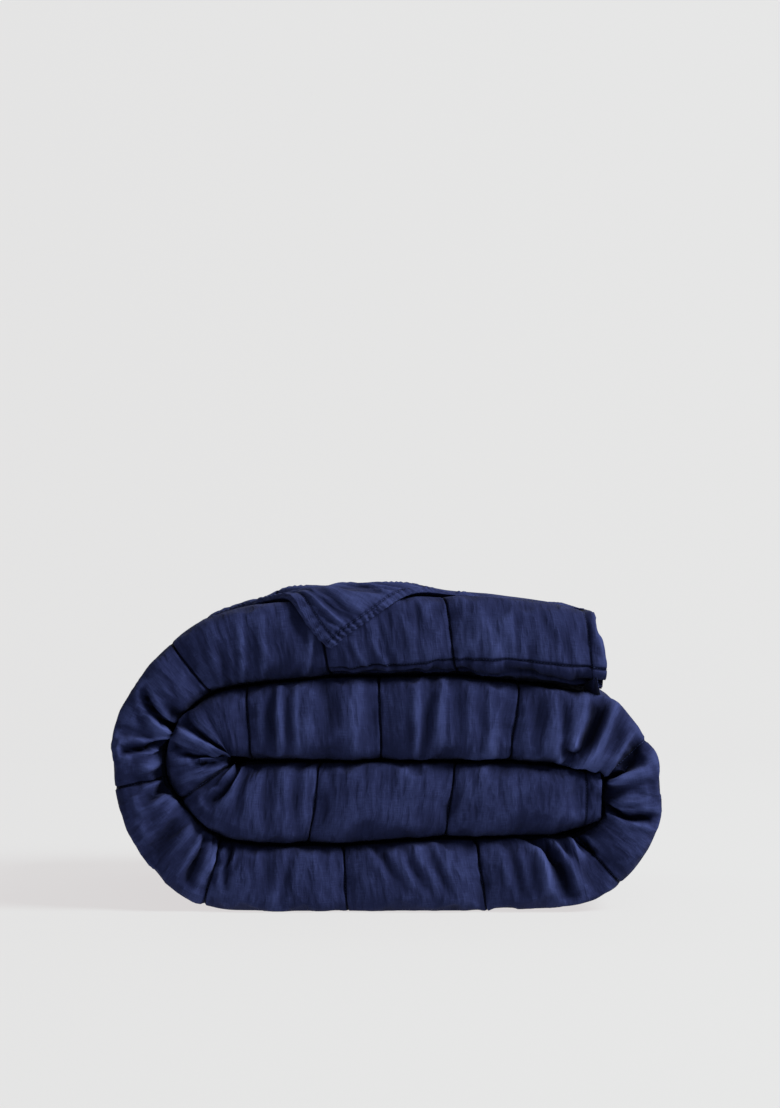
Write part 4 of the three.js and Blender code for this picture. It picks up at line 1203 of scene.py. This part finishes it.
top_rows = [j for j, (stretch, f) in enumerate(outer_rows) if stretch < 2]
back_of = np.array(outer_depth[:, top_rows])
for j in top_rows:
    if outer_rows[j][0] == 1:
        deeper = outer_depth[:, j] - outer_depth[:, j - 1]
        farther_out = outer_offset[:, j] - outer_offset[:, j - 1]
        gone = np.hypot(deeper, farther_out)
        back_of[:, j] = back_of[:, j - 1] - gone
slope_d = np.gradient(outer_depth[:, top_rows], axis=1)
slope_n = np.gradient(outer_offset[:, top_rows], axis=1)
slope = np.maximum(np.hypot(slope_d, slope_n), 1e-6)
face_d = slope_n / slope
face_n = -slope_d / slope


def on_column(i, back, rise):
    """Depth and offset above the outer face of one column, at a distance back over the fold."""
    keys = back_of[i, ::-1]
    columns = (outer_depth[i, top_rows], outer_offset[i, top_rows], face_d[i], face_n[i])
    d, n, nd, nn = (np.interp(back, keys, values[::-1]) for values in columns)
    return d + nd * rise, n + nn * rise


def at_along(distance, level):
    """A point in space from the two columns beside a distance along the outer face."""
    i = int(np.clip(np.searchsorted(-along, -distance) - 1, 0, len(along) - 2))
    f = np.clip((along[i] - distance) / (along[i] - along[i + 1]), 0, 1)
    ends = []
    for k in (i, i + 1):
        d, n = level(k)
        x = path_x[k] + out_x[k] * n + CENTRE_X
        ends.append(np.array([x, d + CENTRE_Y, path_z[k] + out_z[k] * n]))
    return ends[0] * (1 - f) + ends[1] * f


def corner_grid():
    """Upper and lower faces of the turned corner, and each point's distances from its edges."""
    share = np.linspace(0, 1, CORNER_COLUMNS)
    q = share - COLUMN_CROWDING * np.sin(2 * np.pi * share) / (2 * np.pi)
    r = TIP_START + (ROWS_END - TIP_START) * np.linspace(0, 1, CORNER_ROWS)
    width = math.hypot(CREASE_BACK[0], CREASE_BACK[1] - CREASE_OUTER[1])
    upper = np.zeros((CORNER_ROWS, CORNER_COLUMNS, 3))
    lower = np.zeros_like(upper)
    edges = np.zeros((CORNER_ROWS, CORNER_COLUMNS, 3))
    for a, rr in enumerate(r):
        for b, qq in enumerate(q):
            edge_x = CREASE_OUTER[0] + (CREASE_BACK[0] - CREASE_OUTER[0]) * qq
            edge_b = CREASE_OUTER[1] + (CREASE_BACK[1] - CREASE_OUTER[1]) * qq
            x = CORNER_TIP[0] + (edge_x - CORNER_TIP[0]) * rr
            x += LONG_BOW * qq**2 * rr / BOW_AT * math.exp(1 - rr / BOW_AT)
            sag = END_SAG * math.sin(math.pi * rr) * (1 - qq) ** 3
            back = CORNER_TIP[1] + (edge_b - CORNER_TIP[1]) * rr - sag
            end_in = qq * width * rr * END_SLANT
            long_in = (1 - qq) * width * rr * LONG_SLANT
            inset = min(end_in, long_in)
            full = ease(*FULL_FROM, inset) * ease(0, TIP_FILLS, rr)
            ply = CORNER_HEM + (corner_ply(x) - CORNER_HEM) * full
            ply *= EDGE_SHARE + (1 - EDGE_SHARE) * ease(-0.5, 3.5, inset)
            sinks = ease(0, PRESS_RANGE[1], back - edge_back(x)) + 1 - ease(10, 50, back)
            clear = (CORNER_CLEAR + CORNER_SINKS * sinks) * at_end(x)
            lower[a, b] = at_along(x, lambda k: on_column(k, back, clear))
            upper[a, b] = at_along(x, lambda k: on_column(k, back, clear + ply))
            edges[a, b] = (end_in, long_in, rr)
    return upper, lower, edges, q


corner_upper, corner_lower, corner_edges, corner_q = corner_grid()

# The crease: rows of the upper face, set back from it and down from the corner's top, and of the
# lower face, set back and as a share of the way down to the ply that the corner turns into.
CreaseRow = namedtuple("CreaseRow", "up_back up_drop down_back down")
CREASE_ROLL = [
    CreaseRow(-12, 0.0, -12, 0), CreaseRow(-7, 0.0, -8, 0), CreaseRow(-2, 0.5, -4.5, 0),
    CreaseRow(3, 1.6, -4.2, 0.5), CreaseRow(8, 4.0, -4, 1), CreaseRow(12, 7.6, 2, 1),
    CreaseRow(14.6, 11.5, 8, 1),
]
CREASE_FROM = 12.0             # its height is taken this far before it
crease_upper = np.zeros((len(CREASE_ROLL), CORNER_COLUMNS, 3))
crease_lower = np.zeros_like(crease_upper)
for a, row in enumerate(CREASE_ROLL):
    for b, qq in enumerate(corner_q):
        x = CREASE_OUTER[0] + (CREASE_BACK[0] - CREASE_OUTER[0]) * qq
        edge = CREASE_OUTER[1] + (CREASE_BACK[1] - CREASE_OUTER[1]) * qq
        lift = at_end(x) * (CORNER_CLEAR + CORNER_SINKS)

        def above(k):
            high = on_column(k, edge - CREASE_FROM, 0)[1] + lift
            return edge + row.up_back, high + corner_ply(x) - row.up_drop

        def below(k):
            high = on_column(k, edge - CREASE_FROM, 0)[1] + lift
            low = half[k] / 2 - SLIT + CORNER_CLEAR
            return edge + row.down_back, high + (low - high) * row.down

        crease_upper[a, b] = at_along(x, above)
        crease_lower[a, b] = at_along(x, below)
upper = np.concatenate([corner_upper, crease_upper])
lower = np.concatenate([corner_lower, crease_lower])


def from_edge(points, edge):
    """Each point's distance from an edge, and how far along that edge it lies."""
    run = np.append(0, np.cumsum(np.linalg.norm(np.diff(edge, axis=0), axis=1)))
    away = np.linalg.norm(points[:, :, None] - edge[None, None], axis=-1)
    return away.min(-1), run[away.argmin(-1)]


# Its own face: stitched hems, ruffled along their edges, and soft folds that cross from one hem to
# the other.
FOLDS_RUN = (0.38, 0.92)       # which way these folds run, from its end edge and from its long edge
end_in, end_run = from_edge(upper, upper[:, 0])
long_in, long_run = from_edge(upper, upper[:, -1])
beyond_tip = ease(0, 12, np.minimum(end_in, 60) + np.minimum(long_in, 60))
corner_relief = -1.0 * bell(end_in - CORNER_STITCH[0], 1.6) * ease(6, 14, long_in)
corner_relief -= 1.1 * bell(long_in - CORNER_STITCH[1], 1.3) * ease(4, 10, end_in)
fold = FOLDS_RUN[0] * end_in + FOLDS_RUN[1] * long_in
fold_run = FOLDS_RUN[1] * end_in - FOLDS_RUN[0] * long_in
inside = ease(6, 22, end_in) * ease(11, 26, long_in)
fold_warp = fold + 6 * field(end_in, long_in, 30, 30, 35)
for kind in (Ripple(31, 17, 6.0, 0), Ripple(32, 9, 3.2, 0)):
    bent = field(fold_warp, fold_run, kind.wave, 90, kind.seed)
    corner_relief += inside * (kind.high * bell(bent, 0.32) + 0.5 * kind.high * bent - 0.35 * kind.high)
Ruffle = namedtuple("Ruffle", "wave high reach seed")
END_RUFFLE = Ruffle(6.5, 1.7, 17, 33)
LONG_RUFFLE = Ruffle(12, 1.2, 22, 34)
DEEPEST = 2.4                  # so that its upper face stays clear of its lower one


def ruffled(run, inset, kind):
    """Short wrinkles square to a hem, uneven in size and spacing."""
    phase = run / kind.wave + 0.9 * field(run, inset, 3 * kind.wave, 60, kind.seed) + 0.02 * inset
    size = 0.65 + 0.6 * field(run, inset, 2 * kind.wave, 60, kind.seed + 5)
    fades = 1 - ease(0.35 * kind.reach, kind.reach, inset)
    return kind.high * size * np.sin(2 * np.pi * phase) * fades


ruffle = ruffled(end_run, end_in, END_RUFFLE) + ruffled(long_run, long_in, LONG_RUFFLE)
ruffle += 1.3 * field(end_run, long_run, 16, 16, 37) * (1 - ease(8, 26, end_in))
crease_near = np.concatenate([corner_edges[..., 2], np.ones((len(CREASE_ROLL), CORNER_COLUMNS))])
corner_relief += ruffle * beyond_tip
corner_relief *= 1 - 0.85 * ease(0.4, 0.8, crease_near)
corner_relief = np.maximum(corner_relief, -DEEPEST)


def mesh_slab(name, upper, lower):
    """A closed slab from two grids of the same size."""
    deep, wide = upper.shape[:2]
    points = np.concatenate([upper.reshape(-1, 3), lower.reshape(-1, 3)]) * MM
    a = np.arange(deep * wide).reshape(deep, wide)
    b = a + deep * wide
    quads = [np.stack([a[:-1, :-1], a[1:, :-1], a[1:, 1:], a[:-1, 1:]], -1).reshape(-1, 4)]
    quads.append(quads_of(b))
    sides = [(a[:, 0], b[:, 0], False), (a[:, -1], b[:, -1], True)]
    sides += [(a[0], b[0], True), (a[-1], b[-1], False)]
    for line_a, line_b, turn in sides:
        q = np.stack([line_a[:-1], line_b[:-1], line_b[1:], line_a[1:]], -1)
        quads.append(q[:, ::-1] if turn else q)
    return put(name, mesh_of(name, points.tolist(), np.concatenate(quads).tolist()))


upper_normal = normals_of(upper)
upper_normal *= np.sign(upper_normal[len(upper) // 2, CORNER_COLUMNS // 2, 2])
upper = upper + upper_normal * corner_relief[..., None]
inset = np.minimum(end_in, long_in)
under = np.minimum(corner_relief, 1.5) * 0.6 * ease(-1, 6, inset)
lower = lower + upper_normal * under[..., None]
corner = mesh_slab("corner_flap", upper, lower)
# Painted shade along the stitching of the corner's hems.
corner_seam_shade = 0.35 * bell(end_in - CORNER_STITCH[0], 1.3)
corner_seam_shade = np.maximum(corner_seam_shade, 0.5 * bell(long_in - CORNER_STITCH[1], 1.0))
CORNER_CLOTH = (3.0, 3.0)      # where the corner's cloth lies on the finish's plane, clear of the rest
CORNER_DRAWN = (24, 40)        # mm in from its edges, from where the finish paints shade lines along the seams


def both(values):
    """The same values for the upper and the lower face."""
    return np.concatenate([values.reshape(-1)] * 2)


# The corner's relief, raised by 1.5 mm, tints its cloth like the roll's: partly rubbed wear, partly
# painted light and shade.
mark_cloth(
    corner,
    both(fold + CORNER_CLOTH[0] / MM),
    both(fold_run + CORNER_CLOTH[1] / MM),
    both(corner_relief + 1.5),
    both(corner_seam_shade),
    (both(end_in - HEM_WIDTH), both(long_in - HEM_WIDTH), both(ease(*CORNER_DRAWN, inset))),
)
corner.data.materials.append(navy)
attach(corner, "root")
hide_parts("turned_corner")

# ------------------------------------------------------------------------------- the stitching
# Running lockstitch in a thread a little paler than the cloth, 3.2 mm to the stitch, sunk along
# the seams of the boxes where they show, the hems of both ends, the front hem and the hems of the turned
# corner.

STITCH_PITCH = 3.2
STITCH_LENGTH = 2.5
STITCH_THICK = 0.6
STITCH_SEED = 4
SOLE = 4.0                     # no stitches are laid where the cloth is nearer the floor than this
UNDER_CORNER = 4.0             # nor from this far in under the turned corner


def node_in(tree, kind, settings=None, sockets=None):
    """A geometry node with its settings, its values and the links into it."""
    made = tree.nodes.new(kind)
    for key, value in (settings or {}).items():
        setattr(made, key, value)
    for key, value in (sockets or {}).items():
        if isinstance(value, bpy.types.NodeSocket):
            tree.links.new(value, made.inputs[key])
        else:
            made.inputs[key].default_value = value
    return made


def stitching_tool():
    """Geometry nodes that lay stitches along the edges of a mesh."""
    tree = bpy.data.node_groups.new("stitching", "GeometryNodeTree")
    wanted = {
        "Seams": "NodeSocketGeometry",
        "Pitch": "NodeSocketFloat",
        "Length": "NodeSocketFloat",
        "Thickness": "NodeSocketFloat",
        "Seed": "NodeSocketInt",
        "Thread": "NodeSocketMaterial",
    }
    for name, kind in wanted.items():
        tree.interface.new_socket(name, in_out="INPUT", socket_type=kind)
    tree.interface.new_socket("Stitches", in_out="OUTPUT", socket_type="NodeSocketGeometry")
    given = node_in(tree, "NodeGroupInput").outputs
    curve = node_in(tree, "GeometryNodeMeshToCurve", {}, {"Mesh": given["Seams"]})
    points = node_in(tree, "GeometryNodeCurveToPoints", {"mode": "LENGTH"}, {
        "Curve": curve.outputs["Curve"], "Length": given["Pitch"]})
    turned = node_in(tree, "FunctionNodeAlignRotationToVector", {"axis": "Z"}, {
        "Vector": points.outputs["Tangent"]})
    uneven = node_in(tree, "FunctionNodeRandomValue", {"data_type": "FLOAT"}, {
        2: 0.85, 3: 1.1, "Seed": given["Seed"]})
    long = node_in(tree, "ShaderNodeMath", {"operation": "MULTIPLY"}, {
        0: given["Length"], 1: uneven.outputs[1]})
    size = node_in(tree, "ShaderNodeCombineXYZ", {}, {
        "X": given["Thickness"], "Y": given["Thickness"], "Z": long.outputs[0]})
    bead = node_in(tree, "GeometryNodeMeshUVSphere", {}, {"Segments": 5, "Rings": 4, "Radius": 0.5})
    laid = node_in(tree, "GeometryNodeInstanceOnPoints", {}, {
        "Points": points.outputs["Points"], "Instance": bead.outputs["Mesh"],
        "Rotation": turned.outputs["Rotation"], "Scale": size.outputs["Vector"]})
    real = node_in(tree, "GeometryNodeRealizeInstances", {}, {"Geometry": laid.outputs["Instances"]})
    done = node_in(tree, "GeometryNodeSetMaterial", {}, {
        "Geometry": real.outputs["Geometry"], "Material": given["Thread"]})
    node_in(tree, "NodeGroupOutput", {}, {"Stitches": done.outputs["Geometry"]})
    return tree


def across_line(v):
    """Points on the sewn face where each column crosses one line of the flat cloth."""
    out = []
    for i in range(len(flat)):
        target = v[i]
        row = outer_across[i, :wide_rows]
        out.append([np.interp(-target, -row, outer[i, :wide_rows, axis]) for axis in range(3)])
    return np.array(out)


def visible(points, columns):
    """A line cut into the pieces that are neither on the floor nor wound in."""
    pieces = [[]]
    for i in columns:
        if points[i][2] > SOLE:
            pieces[-1].append(points[i])
        elif pieces[-1]:
            pieces.append([])
    return [np.array(piece) for piece in pieces if len(piece) > 2]


wide_rows = int(np.nonzero(stretch_of <= 2)[0][-1]) + 1
open_columns = np.nonzero(exposed > 0.5)[0]
covered = outer_depth[:, :wide_rows] > edge_back(along)[:, None] + UNDER_CORNER
covered &= along[:, None] < CREASE_BACK[0]
seam_lines = []
for k in range(BOXES_ALONG + 1):
    i = int(np.argmin(np.abs(flat - k * BOX)))
    back = FREE_HEM if exposed[i] > 0.5 else BOX / 2 + 20
    rows = np.nonzero((outer_across[i] < back) & (outer_across[i] > -BOX / 2))[0]
    rows = rows[rows < wide_rows]
    rows = rows[~covered[i, rows]]
    seam_lines += visible(outer[i], rows)
for v in (BOX / 2, 1.5 * BOX, 2.5 * BOX, 3.5 * BOX):
    on_ply = outer_across[:, 0] > v + UNDER_CORNER
    at_row = np.abs(outer_across[:, :wide_rows] - v).argmin(1)
    columns = [i for i in open_columns if on_ply[i] and not covered[i, at_row[i]]]
    line = across_line(np.full(len(flat), v))
    breaks = np.nonzero(np.diff(columns) > 1)[0] + 1
    for run in np.split(np.array(columns), breaks):
        seam_lines += visible(line, run)
seam_lines += visible(across_line(hem_stitch), np.nonzero(flat < HEM_FADES[0] + 6)[0])
for along_row, (inset, gap) in enumerate(((end_in, CORNER_STITCH[0]), (long_in, CORNER_STITCH[1]))):
    line = []
    for a in range(3, CORNER_ROWS):
        keys = inset[a] if along_row == 0 else inset[a, ::-1]
        row = upper[a] if along_row == 0 else upper[a, ::-1]
        if keys[-1] > gap:
            line.append([np.interp(gap, keys, row[:, axis]) for axis in range(3)])
    seam_lines.append(np.array(line))

seam_edges = []
start = 0
for line in seam_lines:
    seam_edges += [(start + i, start + i + 1) for i in range(len(line) - 1)]
    start += len(line)
seams = put("seams", mesh_of("seams", (np.concatenate(seam_lines) * MM).tolist(), [], seam_edges))

thread = Finish("navy_thread").surface({
    "Base Color": (0.04, 0.056, 0.16, 1),
    "Roughness": 0.8,
    "Specular IOR Level": 0.1,
})
tool = stitching_tool()
laying = seams.modifiers.new("stitching", "NODES")
laying.node_group = tool
given = {
    "Pitch": STITCH_PITCH * MM,
    "Length": STITCH_LENGTH * MM,
    "Thickness": STITCH_THICK * MM,
    "Seed": STITCH_SEED,
    "Thread": thread,
}
for item in tool.interface.items_tree:
    if item.in_out == "INPUT" and item.name in given:
        laying[item.identifier] = given[item.name]
bpy.context.view_layer.update()
laid = seams.evaluated_get(bpy.context.evaluated_depsgraph_get())
stitched = bpy.data.meshes.new_from_object(laid)
bpy.data.objects.remove(seams)
stitches = put("stitches", stitched)
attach(stitches, "root")

# ------------------------------------------------------------------------------- the studio
# A pale floor that sweeps up into a backdrop and glows a little, a large soft light from the upper
# right, a faint one from the front, and a level camera at the height of the roll's top.

FLOOR_TONE = (0.095, 0.118, 0.118, 1)
FLOOR_GLOW = (0.671, 0.646, 0.646, 1)
BACKDROP_GLOW = (0.698, 0.678, 0.678, 1)
FLOOR_HALF = 8.0               # half its width, metres
FLOOR_FRONT = -7.0
FLOOR_GAP = 0.0003             # the floor lies this much below the quilt
BEND_START = 2.6
BEND_RADIUS = 1.8
WALL_TOP = 7.0
LIT_PLACE = (0, 0, 0.15)       # where the lights are turned to


def sweep():
    """The floor and, in one piece with it, the wall behind it."""
    profile = [(FLOOR_FRONT, 0.0), (BEND_START, 0.0)]
    for angle in np.linspace(0.1, math.pi / 2, 16):
        y = BEND_START + BEND_RADIUS * math.sin(angle)
        profile.append((y, BEND_RADIUS - BEND_RADIUS * math.cos(angle)))
    profile.append((BEND_START + BEND_RADIUS, WALL_TOP))
    points = [(x, y, z - FLOOR_GAP) for y, z in profile for x in (-FLOOR_HALF, FLOOR_HALF)]
    faces = [(2 * i, 2 * i + 1, 2 * i + 3, 2 * i + 2) for i in range(len(profile) - 1)]
    return put("studio_sweep", mesh_of("studio_sweep", points, faces))


paper = Finish("pale_floor")
floor = sweep()
where = paper.node("ShaderNodeTexCoord", output="Object")
back = paper.node("ShaderNodeSeparateXYZ", {}, {"Vector": where}, "Y")
toward = paper.node("ShaderNodeMapRange", {"interpolation_type": "SMOOTHSTEP"}, {
    "Value": back, "From Min": -1.5, "From Max": 2.5})
floor.data.materials.append(paper.surface({
    "Base Color": FLOOR_TONE,
    "Roughness": 1.0,
    "Specular IOR Level": 0.0,
    "Emission Color": paper.blend(toward, FLOOR_GLOW, BACKDROP_GLOW),
    "Emission Strength": 1.0,
}))

world = bpy.data.worlds.new("studio")
world.use_nodes = True
world.node_tree.nodes["Background"].inputs["Color"].default_value = (1, 1, 1, 1)
world.node_tree.nodes["Background"].inputs["Strength"].default_value = 0.12
bpy.context.scene.world = world


def soft_light(name, place, size, power, colour):
    """A rectangular light that faces the quilt."""
    data = bpy.data.lights.new(name, "AREA")
    data.shape = "RECTANGLE"
    data.size, data.size_y = size
    data.energy = power
    data.color = colour
    obj = put(name, data)
    obj.location = place
    direction = np.array(LIT_PLACE) - np.array(place)
    obj.rotation_euler = Vector(direction).to_track_quat("-Z", "Y").to_euler()


soft_light("key", (4.3, -2.3, 4.2), (3.0, 3.0), 575, (1, 0.98, 0.96))
soft_light("fill", (0.3, -3.9, 1.8), (1.6, 1.4), 10, (0.95, 0.97, 1))

camera = bpy.data.cameras.new("camera")
camera.sensor_fit = "VERTICAL"
camera.sensor_height = 36.0
camera.lens = 114.1
camera.clip_end = 60
view = put("camera", camera)
view.location = (0.0047, -3.8706, 0.370)
view.rotation_euler = (math.pi / 2, 0, 0)
bpy.context.scene.camera = view
bpy.context.scene.view_settings.view_transform = "Standard"
